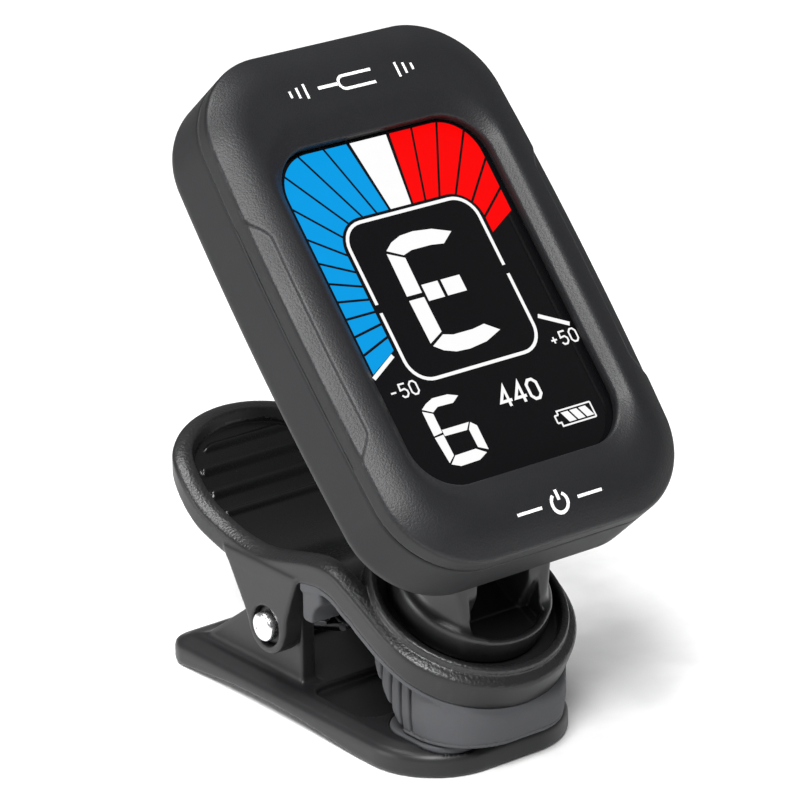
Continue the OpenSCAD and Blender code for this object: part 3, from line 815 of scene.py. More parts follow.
class TUNER_OT_mode_button(bpy.types.Operator):
    """Builds the dished mode button and its collar"""

    bl_idname = "tuner.mode_button"
    bl_label = "Mode Button"

    def execute(self, context):
        place = Place(HEAD.world(0, BUTTON_V, -HOUSING_DEPTH), HEAD_UP)
        piece = moulded("mode_button", mode_button_field, (-3.5, -3.5, -0.5), (3.5, 3.5, 2.1), 0.12, place)
        material = plastic("button_rubber", (0.06, 0.06, 0.063), 0.55, grain=3000, depth=0.2, wear=0.4)
        finish_piece(piece, "button", "housing_plastic", material, "mode_button")
        return {"FINISHED"}


def arc(cx, cy, radius, start, end, steps=8):
    """Points on an arc, angles in degrees, anticlockwise."""
    angles = np.radians(np.linspace(start, end, steps + 1))
    return [(cx + radius * math.cos(a), cy + radius * math.sin(a)) for a in angles]


def rounded_outline(cx, cy, half_w, half_h, radius, steps=8):
    points = []
    in_w, in_h = half_w - radius, half_h - radius
    for i, (sx, sy) in enumerate([(1, 1), (-1, 1), (-1, -1), (1, -1)]):
        points += arc(cx + sx * in_w, cy + sy * in_h, radius, 90 * i, 90 * i + 90, steps)
    return points


class TUNER_OT_display_window(bpy.types.Operator):
    """Builds the polished black window behind the frame"""

    bl_idname = "tuner.display_window"
    bl_label = "Display Window"

    def execute(self, context):
        top = -Sizes("tuner_housing").glass_drop
        half_w, half_h = (half + GLASS_REACH for half in WINDOW_HALF)
        outline = rounded_outline(0, WINDOW_V, half_w, half_h, WINDOW_CORNER + 1)
        piece = plates("display_window", [outline], top - 0.8, top, HEAD, bevel=0.1)
        material = plastic(
            "window_gloss", (0.0025, 0.0025, 0.003), 0.06, grain=300, depth=0.01, wear=0.0, spread=0.02,
            Specular_IOR_Level=0.25,
        )
        finish_piece(piece, "head", "display_window", material, "display_window")
        return {"FINISHED"}


# ---- display ----

FAN_CENTRE = (0.1, -0.5)
FAN_START = 8.4
FAN_STEP = 9.07
FAN_INNER = (0.25, 0.05, 8.55, 9.0, 3.2)
FAN_OUTER = (0.2, 0.0, 11.85, 16.55, 4.2)
NOTE_FRAME = (0.25, 0.05, 7.95, 8.5, 2.5)


def reach(angle, border):
    """Distance from the fan's centre to a rounded border, in a direction measured from straight up."""
    cx, cy, half_w, half_h, radius = border
    near, far = 0.0, 30.0
    for _ in range(40):
        middle = (near + far) / 2
        u = FAN_CENTRE[0] + middle * math.sin(math.radians(angle))
        v = FAN_CENTRE[1] + middle * math.cos(math.radians(angle))
        inside = rounded_rect(u - cx, v - cy, half_w, half_h, radius) < 0
        near, far = (middle, far) if inside else (near, middle)
    return near


def fan_bar(start, end, gap):
    """One bar of the scale between two directions, with half a gap on each side."""
    steps = 6
    outline = []
    for border, order in ((FAN_INNER, 1), (FAN_OUTER, -1)):
        row = []
        for i in range(steps + 1):
            angle = start + (end - start) * i / steps
            radius = reach(angle, border)
            trim = math.degrees(math.asin(gap / 2 / radius)) * (1 - 2 * i / steps)
            radius = reach(angle + trim, border)
            a = math.radians(angle + trim)
            row.append((FAN_CENTRE[0] + radius * math.sin(a), FAN_CENTRE[1] + radius * math.cos(a)))
        outline += row[::order]
    return outline


def stroke(points, width):
    """Quads along a line of points, one for each stretch."""
    shapes = []
    for (ax, ay), (bx, by) in zip(points, points[1:]):
        length = math.hypot(bx - ax, by - ay)
        nx, ny = -(by - ay) / length * width / 2, (bx - ax) / length * width / 2
        shapes.append([(ax + nx, ay + ny), (ax - nx, ay - ny), (bx - nx, by - ny), (bx + nx, by + ny)])
    return shapes


def ribbon(points, width):
    """One outline along a line of points, its corners mitred."""
    points = [Vector(p) for p in points]
    left, right = [], []
    for i, point in enumerate(points):
        before = (point - points[i - 1]).normalized() if i else (points[1] - point).normalized()
        after = (points[i + 1] - point).normalized() if i + 1 < len(points) else before
        along = (before + after).normalized()
        side = Vector((-along.y, along.x)) * width / 2 / max(along.dot(before), 0.3)
        left.append(tuple(point + side))
        right.append(tuple(point - side))
    return left + right[::-1]


def note_frame(width):
    """The line round the note, open at the middle of both sides."""
    cx, cy, half_w, half_h, radius = NOTE_FRAME
    points = rounded_outline(cx, cy, half_w, half_h, radius)
    quarter = len(points) // 4
    upper = [(cx + half_w, 0.6)] + points[: 2 * quarter] + [(cx - half_w, 0.1)]
    lower = [(cx - half_w, -0.8)] + points[2 * quarter :] + [(cx + half_w, -0.35)]
    return [ribbon(upper, width), ribbon(lower, width)]


def segment_note():
    """The letter E in seven-segment form, with swelling ends."""
    top = [(-3.85, 5.05), (-2.2, 4.2), (-1.1, 4.5), (1.3, 4.5), (2.8, 4.3), (4.25, 5.3), (2.2, 6.05),
           (0.0, 6.3), (-1.6, 6.2), (-2.9, 5.75)]
    upper = [(-3.98, 4.75), (-4.05, 0.1), (-2.25, 0.1), (-2.2, 3.9)]
    shapes = [top, upper, [(0.45, -0.88), (2.76, -0.88), (2.76, 0.85), (0.45, 0.85)]]
    shapes.append([(-1.9, -0.9), (0.05, -0.9), (0.05, 0.85), (-1.9, 0.85)])
    for shape in (top, upper):
        shapes.append([(u, -0.28 - v) for u, v in shape][::-1])
    return shapes


def segment_six():
    """The string's number in seven-segment form."""
    left, right = -8.45, -3.35
    return [
        [(left + 0.08, -11.05), (left + 1.15, -11.6), (left + 1.9, -11.2), (-4.7, -11.25), (-3.8, -10.7),
         (-4.9, -10.3), (-6.7, -10.25), (left + 0.8, -10.6)],
        [(left, -11.25), (left, -13.88), (left + 1.05, -13.75), (left + 1.05, -11.75)],
        [(left, -14.05), (left + 0.28, -16.8), (left + 1.1, -16.2), (left + 1.05, -13.98)],
        [(left + 1.25, -16.25), (-4.7, -16.2), (-3.7, -16.85), (-4.8, -17.35), (-7.1, -17.4),
         (left + 0.4, -16.97)],
        [(right - 1.05, -14.2), (right - 1.0, -16.1), (right, -16.6), (right, -14.05),
         (right - 0.55, -13.55)],
        [(left + 1.15, -13.5), (left + 1.15, -14.15), (right - 1.3, -14.2), (right - 0.7, -13.5)],
    ]


def battery_sign(u, v):
    """A battery with three slanted bars."""
    case = [(0.45, -0.8), (4.6, -0.8), (4.6, 0.8), (0.45, 0.8)]
    tip = [(0.45, 0.88), (0.45, 0.4), (0, 0.4), (0, -0.4), (0.45, -0.4)]
    shapes = []
    for line in (case, tip, [(0.45, -0.32), (0.45, -0.88)]):
        shapes += stroke([(u + a, v + b) for a, b in line], 0.16)
    for i in range(3):
        start = u + 0.85 + 1.1 * i
        bar = [(0, 0.55), (0.55, -0.55), (1.4, -0.55), (0.85, 0.55)]
        shapes.append([(start + a, v + b) for a, b in bar])
    return shapes


DIGITS = {
    "0": [[(0.18, 0.0), (0.42, 0.0), (0.6, 0.2), (0.6, 0.8), (0.42, 1.0), (0.18, 1.0), (0.0, 0.8),
           (0.0, 0.2), (0.18, 0.0), (0.2, 0.0)]],
    "4": [[(0.46, 0.0), (0.46, 1.0), (0.0, 0.3), (0.66, 0.3)]],
    "5": [[(0.56, 1.0), (0.06, 1.0), (0.02, 0.55), (0.4, 0.6), (0.58, 0.42), (0.58, 0.2), (0.4, 0.0),
           (0.14, 0.0), (0.0, 0.16)]],
    "+": [[(0.05, 0.5), (0.55, 0.5)], [(0.3, 0.25), (0.3, 0.75)]],
    "-": [[(0.08, 0.5), (0.52, 0.5)]],
}


def number_sign(text, u, v, height, width=0.24, pitch=0.9):
    """Numbers and signs drawn with a round-cornered line."""
    shapes = []
    for i, sign in enumerate(text):
        for line in DIGITS[sign]:
            points = [(u + (i * pitch + a) * height, v + b * height) for a, b in line]
            shapes += stroke(points, width) if sign in "+-" else [ribbon(points, width)]
    return shapes


def lay_shapes(name, shapes, material, slot):
    d = Sizes("tuner_display")
    top = -Sizes("tuner_housing").glass_drop
    piece = plates(name, shapes, top + 0.005, top + 0.005 + d.thickness, HEAD)
    return finish_piece(piece, "head", slot, material)


class TUNER_OT_display_shapes(bpy.types.Operator):
    """Builds the lit shapes of the display: the scale, the note, the string's number and the signs"""

    bl_idname = "tuner.display_shapes"
    bl_label = "Display Shapes"

    def execute(self, context):
        d = Sizes("tuner_display")
        colours = context.scene.tuner_finish
        flat_count = context.scene.tuner_display.bars_flat
        sharp_count = context.scene.tuner_display.bars_sharp
        flat = [
            fan_bar(-FAN_START - FAN_STEP * (i + 1), -FAN_START - FAN_STEP * i, d.bar_gap)
            for i in range(flat_count)
        ]
        sharp = [
            fan_bar(FAN_START + FAN_STEP * i, FAN_START + FAN_STEP * (i + 1), d.bar_gap)
            for i in range(sharp_count)
        ]
        lay_shapes("flat_bars", flat, glowing("blue_light", colours.flat_bars, 0.98), "display_window")
        lay_shapes("sharp_bars", sharp, glowing("red_light", colours.sharp_bars, 1.0), "display_window")
        white = [fan_bar(-FAN_START + 0.9, FAN_START - 0.9, 0.05)]
        white += note_frame(d.frame_line) + segment_note() + segment_six() + battery_sign(5.5, -15.8)
        for side in (-1, 1):
            ends = [reach(side * 118, border) for border in (FAN_INNER, FAN_OUTER)]
            a = math.radians(side * 118)
            line = [
                (FAN_CENTRE[0] + r * math.sin(a), FAN_CENTRE[1] + r * math.cos(a))
                for r in (ends[0] + 0.4, ends[1] + 0.2)
            ]
            white += stroke(line, 0.42)
        white += number_sign("-50", -10.9, -9.4, 1.35, 0.17)
        white += number_sign("+50", 9.2, -8.8, 1.35, 0.17)
        white += number_sign("440", 0.5, -13.2, 2.0, 0.3)
        lay_shapes("white_shapes", white, glowing("white_light", (1.0, 1.0, 1.0), 1.0), "display_window")
        return {"FINISHED"}


FORK_V = 22.05
POWER_V = -24.1


class TUNER_OT_printed_marks(bpy.types.Operator):
    """Prints a plain tuning fork sign above the display and a standard power sign below it"""

    bl_idname = "tuner.printed_marks"
    bl_label = "Printed Marks"

    def execute(self, context):
        bend = arc(-0.9, FORK_V, 0.7, 90, 270, 12)
        fork = [(2.6, FORK_V + 0.7), (-0.9, FORK_V + 0.7), *bend, (-0.9, FORK_V - 0.7), (2.6, FORK_V - 0.7)]
        fork = [fork[0]] + [p for a, p in zip(fork, fork[1:]) if math.dist(a, p) > 0.01]
        shapes = [ribbon(fork, 0.3), *stroke([(-1.6, FORK_V), (-4.1, FORK_V)], 0.34)]
        for side in (-1, 1):
            for i in range(3):
                u = side * (5.6 + 0.9 * i)
                half = 0.8 - 0.22 * i
                shapes += stroke([(u, FORK_V - half), (u, FORK_V + half)], 0.26)
        shapes.append(ribbon(arc(0, POWER_V, 0.95, 125, 415, 28), 0.34))
        shapes += stroke([(0, POWER_V + 0.25), (0, POWER_V + 1.3)], 0.34)
        for side in (-1, 1):
            shapes += stroke([(side * 2.2, POWER_V), (side * 5.2, POWER_V)], 0.3)
        piece = plates("printed_marks", shapes, 0, 0.02, PART)
        bm = bmesh.new()
        bm.from_mesh(piece.data)
        bmesh.ops.scale(bm, vec=(1 / MM,) * 3, verts=bm.verts)
        bmesh.ops.subdivide_edges(bm, edges=[e for e in bm.edges if e.calc_length() > 0.5], cuts=3)
        for vert in bm.verts:
            u, v, n = vert.co
            height = float(face_height(u, v, housing_outline(u, v)))
            vert.co = HEAD.world(u, v, height - 0.012 + n * 1.5) * MM
        bmesh.ops.recalc_face_normals(bm, faces=bm.faces)
        bm.to_mesh(piece.data)
        bm.free()
        material = plastic(
            "printed_ink", context.scene.tuner_finish.printed, 0.5, grain=5000, depth=0.05, wear=0.0,
            spread=0.05,
        )
        finish_piece(piece, "head", "housing_plastic", material)
        return {"FINISHED"}


# ---- inside and small hardware ----


class TUNER_OT_electronics(bpy.types.Operator):
    """Finishes the display panel, light guide, circuit board, cell and the small parts on the board"""

    bl_idname = "tuner.electronics"
    bl_label = "Electronics"

    def execute(self, context):
        glass = plastic("panel_glass", (0.05, 0.06, 0.07), 0.1, grain=900, depth=0.02, wear=0.0)
        guide = plastic("light_guide", (0.85, 0.85, 0.82), 0.35, grain=1500, depth=0.1, wear=0.0)
        board = plastic("solder_mask", (0.01, 0.12, 0.035), 0.3, grain=700, depth=0.15, wear=0.2)
        epoxy = plastic("chip_epoxy", (0.018, 0.018, 0.018), 0.6, grain=5000, depth=0.2, wear=0.1)
        nickel = metal("nickel_can", (0.78, 0.77, 0.74), 0.25)
        strip = metal("contact_strip", (0.76, 0.72, 0.62), 0.3, stretch=(1, 8, 1))
        brass = metal("brass_disc", (0.82, 0.6, 0.26), 0.35)
        finishes = {
            "lcd_panel": glass, "backlight": guide, "main_board": board, "tuner_chip": epoxy,
            "tact_switch": epoxy, "clock_crystal": nickel, "coin_cell": nickel, "cell_spring": strip,
            "cell_side_contact": strip, "piezo_sensor": brass,
        }
        for node, material in finishes.items():
            paint_node(node, material)
        return {"FINISHED"}


PIN_COUNT = 13


class TUNER_OT_display_pins(bpy.types.Operator):
    """Builds the row of pins between the display and the board"""

    bl_idname = "tuner.display_pins"
    bl_label = "Display Pins"

    def execute(self, context):
        low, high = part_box("lcd_pins")
        tree = Tree(
            "Pin Row",
            [("Count", "NodeSocketInt", PIN_COUNT), ("Start", "NodeSocketVector", None),
             ("Step", "NodeSocketVector", None), ("Size", "NodeSocketVector", None),
             ("Material", "NodeSocketMaterial", None)],
        )
        line = {"Count": "Count", "Start Location": "Start", "Offset": "Step"}
        row = tree.add("GeometryNodeMeshLine", {key: tree.given(label) for key, label in line.items()})
        pin = tree.add("GeometryNodeMeshCube", {"Size": tree.given("Size"), "Vertices Z": 4})
        tree.end_with(tree.add("GeometryNodeInstanceOnPoints", {"Points": row, "Instance": pin}))
        u_low, v_a, n_a = HEAD.local(*(np.array(low) / MM))
        u_high, v_b, n_b = HEAD.local(*(np.array(high) / MM))
        pitch = (u_high - u_low - 0.4) / (PIN_COUNT - 1)
        start = (u_low + 0.2, (v_a + v_b) / 2, (n_a + n_b) / 2)
        tin = metal("pin_tin", (0.8, 0.8, 0.78), 0.3)
        values = {"Count": PIN_COUNT, "Start": start, "Step": (pitch, 0, 0), "Size": (0.36, 0.36, 1.5)}
        piece = tree.build("lcd_pins", tin, values, HEAD.matrix())
        finish_piece(piece, "head", "plated_steel", tin, "lcd_pins")
        return {"FINISHED"}


def screw_field(x, y, z):
    """One countersunk cross-head screw, its head down, in millimetres."""
    head, radius, shank, pitch = 1.4, 1.58, 0.68, 0.45
    side = np.hypot(x, y)
    body = both(0.25, side - radius, between(z, 0, head))
    turn = z / pitch - np.arctan2(y, x) / (2 * math.pi)
    thread = shank - 0.1 + 0.1 * np.cos(2 * math.pi * turn)
    body = join(0.15, body, both(0.2, side - thread, between(z, head - 0.4, SCREW_LENGTH)))
    bars = [np.maximum(np.abs(a) - 1.05, np.abs(b) - 0.2) for a, b in ((x, y), (y, x))]
    return cut(0.08, body, np.maximum(np.minimum(*bars), z - 0.65))


class TUNER_OT_housing_screws(bpy.types.Operator):
    """Places four alike cross-head screws in the back of the housing"""

    bl_idname = "tuner.housing_screws"
    bl_label = "Housing Screws"

    def execute(self, context):
        points, quads = surface(screw_field, (-1.6, -1.6, 0), (1.6, 1.6, SCREW_LENGTH), 0.13)
        shape = mesh_object("screw_shape", points, quads)
        (across_a, along_a), (across_b, along_b) = SCREW_PLACES[0], SCREW_PLACES[-1]
        spread = {"Across": across_b - across_a, "Along": along_a - along_b}
        tree = Tree(
            "Screw Places",
            [("Screw", "NodeSocketObject", None), ("Across", "NodeSocketFloat", spread["Across"]),
             ("Along", "NodeSocketFloat", spread["Along"]), ("Material", "NodeSocketMaterial", None)],
        )
        counts = {"Vertices X": 2, "Vertices Y": 2}
        sizes = {"Size X": tree.given("Across"), "Size Y": tree.given("Along")}
        grid = tree.add("GeometryNodeMeshGrid", dict(sizes, **counts))
        info = put(tree.tree, "GeometryNodeObjectInfo", {"Object": tree.given("Screw")})
        places = {"Points": grid, "Instance": info.outputs["Geometry"]}
        tree.end_with(tree.add("GeometryNodeInstanceOnPoints", places))
        place = Place(HEAD.world(0, (along_a + along_b) / 2, -HOUSING_DEPTH + 1), HEAD_UP)
        black = metal("black_oxide", (0.22, 0.22, 0.24), 0.35)
        piece = tree.build("housing_screws", black, dict(spread, Screw=shape), place.matrix())
        bpy.data.objects.remove(shape)
        finish_piece(piece, "head", "black_screw", black, "housing_screws")
        return {"FINISHED"}


# ---- neck ----


def neck_field(x, v, h):
    """The turned base with two ears and the slot between them, on the seat's own axis."""
    side = np.hypot(x, v)
    _, _, hinge_h = SEAT.local(*HINGE)
    base = both(0.6, side - 7.88, between(h, -0.28, 2.95))
    heights = [0.5, 1.5, 2.4, 3.8, 5.4, hinge_h, hinge_h + 2.4]
    widths = [7.8, 7.65, 7.45, 7.05, 6.8, 6.6, 6.3]
    body = both(0.5, side - np.interp(h, heights, widths), 0.5 - h)
    reach_v = np.interp(h, [0.5, 2.0, 4.0, hinge_h], [6.0, 5.4, 4.75, 2.72])
    ears = both(0.5, np.abs(v) - reach_v, h - hinge_h)
    ears = join(0.6, ears, np.hypot(v, h - hinge_h) - 2.68)
    ears = both(0.4, body, ears)
    solid = join(1.0, base, ears)
    slot = np.maximum(np.abs(x) - 3.12, 2.92 - h)
    scoop = np.maximum(side - 6.95 - 0.25 * (h - 2), 1.75 - h)
    front = np.maximum(np.maximum(scoop, v + 3.6), np.abs(x) - 4.3)
    solid = cut(0.45, solid, slot)
    solid = cut(0.4, solid, join(0.4, front, np.maximum(scoop, np.abs(x) - 3.12)))
    hub = both(0.15, side - 2.98, between(h, -2.28, 1.0))
    solid = join(0.1, solid, hub)
    bolt = np.hypot(v, h - hinge_h)
    tools = [
        bolt - 1.13,
        np.maximum(bolt - 1.96, x + 5.3),
        np.maximum(bolt - 2.02, 5.1 - x),
        np.maximum(side - 0.9, h - 1.2),
    ]
    return cut(0.12, solid, *tools)


class TUNER_OT_neck(bpy.types.Operator):
    """Builds the swivel neck with its two hinge ears"""

    bl_idname = "tuner.neck"
    bl_label = "Swivel Neck"

    def execute(self, context):
        piece = moulded("swivel_neck", neck_field, (-7.9, -7.9, -2.3), (7.9, 7.9, 10.0), 0.17, SEAT)
        finish_piece(piece, "neck", "neck_plastic", finish("neck_plastic"), "swivel_neck")
        return {"FINISHED"}


class TUNER_OT_neck_hardware(bpy.types.Operator):
    """Finishes the tilt screw and nut, and the screw and washer under the seat"""

    bl_idname = "tuner.neck_hardware"
    bl_label = "Neck Hardware"

    def execute(self, context):
        black = metal("black_zinc", (0.16, 0.16, 0.17), 0.35)
        for node in ("tilt_screw", "tilt_nut"):
            paint_node(node, black)
        for node in ("swivel_screw", "swivel_washer"):
            paint_node(node, metal("plated_steel", (0.62, 0.62, 0.64), 0.3))
        return {"FINISHED"}


# ---- clip ----


def arm_knots():
    """Side view of the upper arm's top line, from the seat to the handle's end."""
    end = Sizes("tuner_clip").upper_end
    slope = SEAT.along[2] / SEAT.along[1]
    start = SEAT.origin[2] + (1.4 - SEAT.origin[1]) * slope
    return [
        (-3.0, start - 4.4 * slope), (1.4, start), (6.3, start + 1.35), (16.4, PIN[2] + 7.05),
        (24.6, PIN[2] + 8.5), (31.0, PIN[2] + 12.0), (end + 0.4, PIN[2] + 14.4), (end + 8.0, PIN[2] + 16.5),
    ]


def arm_line():
    """Dense points of the top line, a smooth curve through the knots."""
    knots = np.array(arm_knots())
    t = np.linspace(0, 1, 24, endpoint=False)[:, None]
    rows = []
    for a, b, c, d in zip(knots, knots[1:], knots[2:], knots[3:]):
        square, cube = 2 * a - 5 * b + 4 * c - d, 3 * b - a - 3 * c + d
        rows.append(0.5 * (2 * b + (c - a) * t + square * t**2 + cube * t**3))
    return np.concatenate(rows + [knots[-2:-1]])


class ArmShape:
    """Distances measured from the upper arm's top surface and from its edge."""

    def __init__(self):
        line = arm_line()
        slope = SEAT.along[2] / SEAT.along[1]
        before = np.array([(line[0, 0] - d, line[0, 1] - d * slope) for d in (30.0, 20.0, 10.0, 1.0)])
        self.line = np.concatenate([before, line])
        steep = np.gradient(self.line[:, 1], self.line[:, 0])
        self.level = 1 / np.sqrt(1 + steep**2)
        clip = Sizes("tuner_clip")
        self.half = clip.width / 2
        self.end_r = self.half + 1.05
        self.end_y = clip.upper_end - self.end_r

    def above(self, y, z):
        top = np.interp(y, self.line[:, 0], self.line[:, 1])
        return (z - top) * np.interp(y, self.line[:, 0], self.level)

    def inwards(self, x, y, z):
        """Distance inwards from the arm's edge, as seen from above."""
        _, v, _ = SEAT.local(x, y, z)
        front = np.where(v < 0, np.hypot(x, v), np.abs(x)) - self.half
        back = np.hypot(x, np.maximum(y - self.end_y, 0)) - self.end_r
        return -both(2.5, front, back)

    def thickness(self, y):
        return 3.1 - 0.75 * ease((y + 11) / 8) - 0.35 * ease((y - 2) / 12)


def ear_field(y, z, radius=2.9):
    """A rounded ear that narrows from the arm down to the pivot."""
    py, pz = PIN[1], PIN[2]
    top = pz + 6.6
    t = np.clip((z - pz) / (top - pz), 0, 1)
    left = py - radius - (py - radius - 9.3) * t**1.25
    right = py + radius + (21.6 - py - radius) * t
    web = both(0.6, between(y, left, right) * 0.85, pz - z, z - top)
    return join(0.8, web, np.hypot(y - py, z - pz) - radius)


def upper_arm_field(x, y, z):
    arm = ArmShape()
    clip = Sizes("tuner_clip")
    inwards = arm.inwards(x, y, z)
    above = arm.above(y, z)
    rise = 0.6 * np.sin(math.pi / 2 * np.clip(inwards / clip.band, 0, 1))
    _, v, h = SEAT.local(x, y, z)
    side = np.hypot(x, v)
    drop = (clip.recess + 0.6) * ease((inwards - clip.band - 0.35) / 0.3)
    seat = ease((clip.ring + 0.35 - side) / 0.3)
    top = above - rise + drop * (1 - seat)
    ribs = np.abs((y - 25.0 + clip.rib_gap / 2) % clip.rib_gap - clip.rib_gap / 2) - 0.45
    ribs = both(0.5, ribs, above - rise + drop - 0.34, 24.0 - y, 2.7 - inwards)
    slab = both(0.35, -inwards, top, -above - arm.thickness(y))
    slab = join(0.15, slab, both(0.1, ribs, -above - 1.2))
    ring = both(0.5, side - clip.ring, h - 1.3, -1.0 - h)
    solid = join(0.1, slab, ring)
    ears = both(0.3, ear_field(y, z), between(np.abs(x), 9.0, arm.half))
    solid = join(0.35, solid, ears)
    tools = [
        both(0.2, side - (clip.ring - 0.84), -0.4 - h),
        np.maximum(side - 3.06, h - 1),
        both(0.1, rounded_rect(x, v - 1.0, 9.8, 10.3, 9.7), h + 2.2, -6 - h),
    ]
    solid = cut(0.2, solid, *tools)
    return cut(0.15, solid, np.hypot(y - PIN[1], z - PIN[2]) - 2.12)


def upper_pad_field(x, y, z):
    arm = ArmShape()
    inwards = arm.inwards(x, y, z)
    under = -arm.above(y, z) - arm.thickness(y)
    liner = both(0.2, 0.12 - inwards, -under, under - 0.62, y - 9.1)
    _, v, h = SEAT.local(x, y, z)
    plug = both(0.1, rounded_rect(x, v - 1.0, 9.7, 10.2, 9.6), between(h, -3.6, -2.25))
    cy = y + 3.0
    low = 3.3
    levels = [low, low + 0.5, low + 2.2, low + 4.4, low + 6.6, low + 8.4, low + 12]
    draws = [0.75, 0.2, 0.0, 0.02, 0.2, 0.6, 1.2]
    side = rounded_rect(x, cy, 8.6, 9.3, 6.8) + np.interp(z, levels, draws)
    barrel = both(0.6, side, low - z)
    turn = np.degrees(np.arctan2(cy, np.abs(x)))
    groove = np.abs((turn + 17) % 10 - 5) * np.radians(1) * np.hypot(x, cy) - 0.17
    groove = both(0.1, groove, between(turn, -16, 34) * 0.15, -side - 0.5)
    barrel = cut(0.3, barrel, groove)
    lip = both(0.1, rounded_rect(x, cy, 8.35, 9.05, 6.6), between(z, low, low + 0.35))
    barrel = join(0.08, barrel, lip)
    barrel = both(0.5, barrel, -under)
    lift = math.radians(53)
    rear = (y + 3.0) * math.sin(lift) - (z - low) * math.cos(lift)
    barrel = both(0.8, barrel, rear)
    height = between(z, PIN[2] + 2.35, PIN[2] + 8)
    hook = both(0.5, between(y, 6.2, 9.1), height, np.abs(x) - (arm.half - 0.4))
    hook = cut(0.3, hook, np.hypot(y - 5.2, z - PIN[2] - 2.6) - 2.3)
    hook = both(0.1, hook, -under)
    solid = join(0.5, liner, barrel, hook)
    solid = join(0.1, solid, plug)
    return cut(0.1, solid, np.hypot(x, v) - 5)


def lower_arm_field(x, y, z):
    clip = Sizes("tuner_clip")
    half, t = clip.width / 2, 2.3
    ear_front, ear_inner, ear_outer = 12.35, 6.8, 8.6
    middle = (clip.lower_end - clip.lower_tip) / 2
    reach_y = (clip.lower_end + clip.lower_tip) / 2
    jaw = rounded_rect(x, y - middle, half, reach_y, 8.0)
    tail = rounded_rect(x, y - middle, half, reach_y, 3.2)
    plan = np.where(y < middle, jaw, tail)
    rise = 0.7 * np.clip(-plan / 1.6, 0, 1)
    slab = both(0.7, plan, z - t - rise, -z)
    slab = both(0.5, slab, (y - clip.lower_end + 1.0) * 0.4 + (z - 2.6) * 0.92)
    arch_r = (14.8**2 + 1.1**2) / 2.2
    arch = np.hypot(y - 15.1, z - 1.1 + arch_r) - arch_r
    slab = cut(0.3, slab, arch)
    slab = cut(0.2, slab, np.maximum(rounded_rect(x, y - 6.3, half - 2.5, 4.75, 2), t - 0.1 - z))
    slab = cut(0.1, slab, np.maximum(rounded_rect(x, y + 4.2, 8.6, 5.3, 4), t - 0.1 - z))
    bump = both(0.5, rounded_rect(x, y - 24.8, 8.5, 3.2, 3), between(z, 0.12, 1.9))
    solid = join(0.4, slab, bump)
    py, pz = PIN[1], PIN[2]
    foot, heel = 2.6, 29.4
    run, drop = heel - py, pz - foot
    reach_up = math.hypot(run, drop)
    lean = math.asin(3.2 / reach_up) + math.atan2(drop, run)
    slant = (y - heel) * math.sin(lean) + (z - foot) * math.cos(lean)
    behind = (y - py) * math.cos(lean) - (z - pz) * math.sin(lean)
    web = both(0.2, slant, ear_front - y, foot - 0.4 - z, -0.3 - behind)
    dome = both(0.1, np.hypot(y - py, z - pz) - 3.2, ear_front - y)
    block = both(0.2, between(y, ear_front, py + 1.0), between(z, foot - 0.4, pz))
    ears = both(0.4, join(0.2, web, dome, block), between(np.abs(x), ear_inner, ear_outer))
    solid = join(0.8, solid, ears)
    boss = both(0.2, np.hypot(y - py, z - pz) - 2.04, between(np.abs(x), 8.5, half - 0.7))
    solid = join(0.25, solid, boss)
    ribs = np.abs((y - 21.95 + 1.2) % 2.4 - 1.2) - 0.34
    ribs = both(0.2, ribs, between(y, 21.0, 29.8), np.abs(x) - 5.5, between(z, t, t + 0.7 + 0.35))
    solid = join(0.15, solid, ribs)
    return cut(0.12, solid, np.hypot(y - py, z - pz) - 1.22)


def lower_pad_field(x, y, z):
    pad = both(0.35, rounded_rect(x, y + 4.2, 8.5, 5.2, 3.9), between(z, 2.22, 3.12))
    ribs = np.abs((y + 7.3 + 0.85) % 1.7 - 0.85) - 0.3
    grip = both(0.15, ribs, between(y, -8, 0.2), np.abs(x) - 6.4, between(z, 2.9, 3.15))
    return join(0.1, pad, grip)


def assign_arm_finishes(piece):
    """Leather grain on the band and ring, polish on the inner floor, plain grain elsewhere."""
    arm = ArmShape()
    clip = Sizes("tuner_clip")
    centres, normals = face_facts(piece.data)
    x, y, z = centres.T
    up = normals[:, 2]
    inwards = arm.inwards(x, y, z)
    above = arm.above(y, z)
    _, v, h = SEAT.local(x, y, z)
    side = np.hypot(x, v)
    index = np.zeros(len(x), np.int32)
    band = (above > 0.02) & (inwards < clip.band + 0.55) & (up > 0.2)
    ring = (side > clip.ring - 0.95) & (side < clip.ring + 0.3) & (h > 0.3)
    index[band | ring] = 1
    floor = (inwards > clip.band + 0.55) & (above > -1.5) & ~ring & (side > clip.ring + 0.2)
    index[floor] = 2
    piece.data.polygons.foreach_set("material_index", index)


class TUNER_OT_upper_arm(bpy.types.Operator):
    """Builds the upper arm: the seat with its ring, the banded handle and the pivot ears"""

    bl_idname = "tuner.upper_arm"
    bl_label = "Upper Arm"

    def execute(self, context):
        clip = Sizes("tuner_clip")
        low = (-clip.width / 2, -13.3, PIN[2] - 2.95)
        high = (clip.width / 2, clip.upper_end, 24.4)
        piece = moulded("upper_arm", upper_arm_field, low, high, 0.21)
        materials = [finish("clip_plastic"), finish("clip_leather"), finish("clip_polished")]
        finish_piece(piece, "upper_clip", "clip_plastic", materials, "upper_arm")
        assign_arm_finishes(piece)
        return {"FINISHED"}


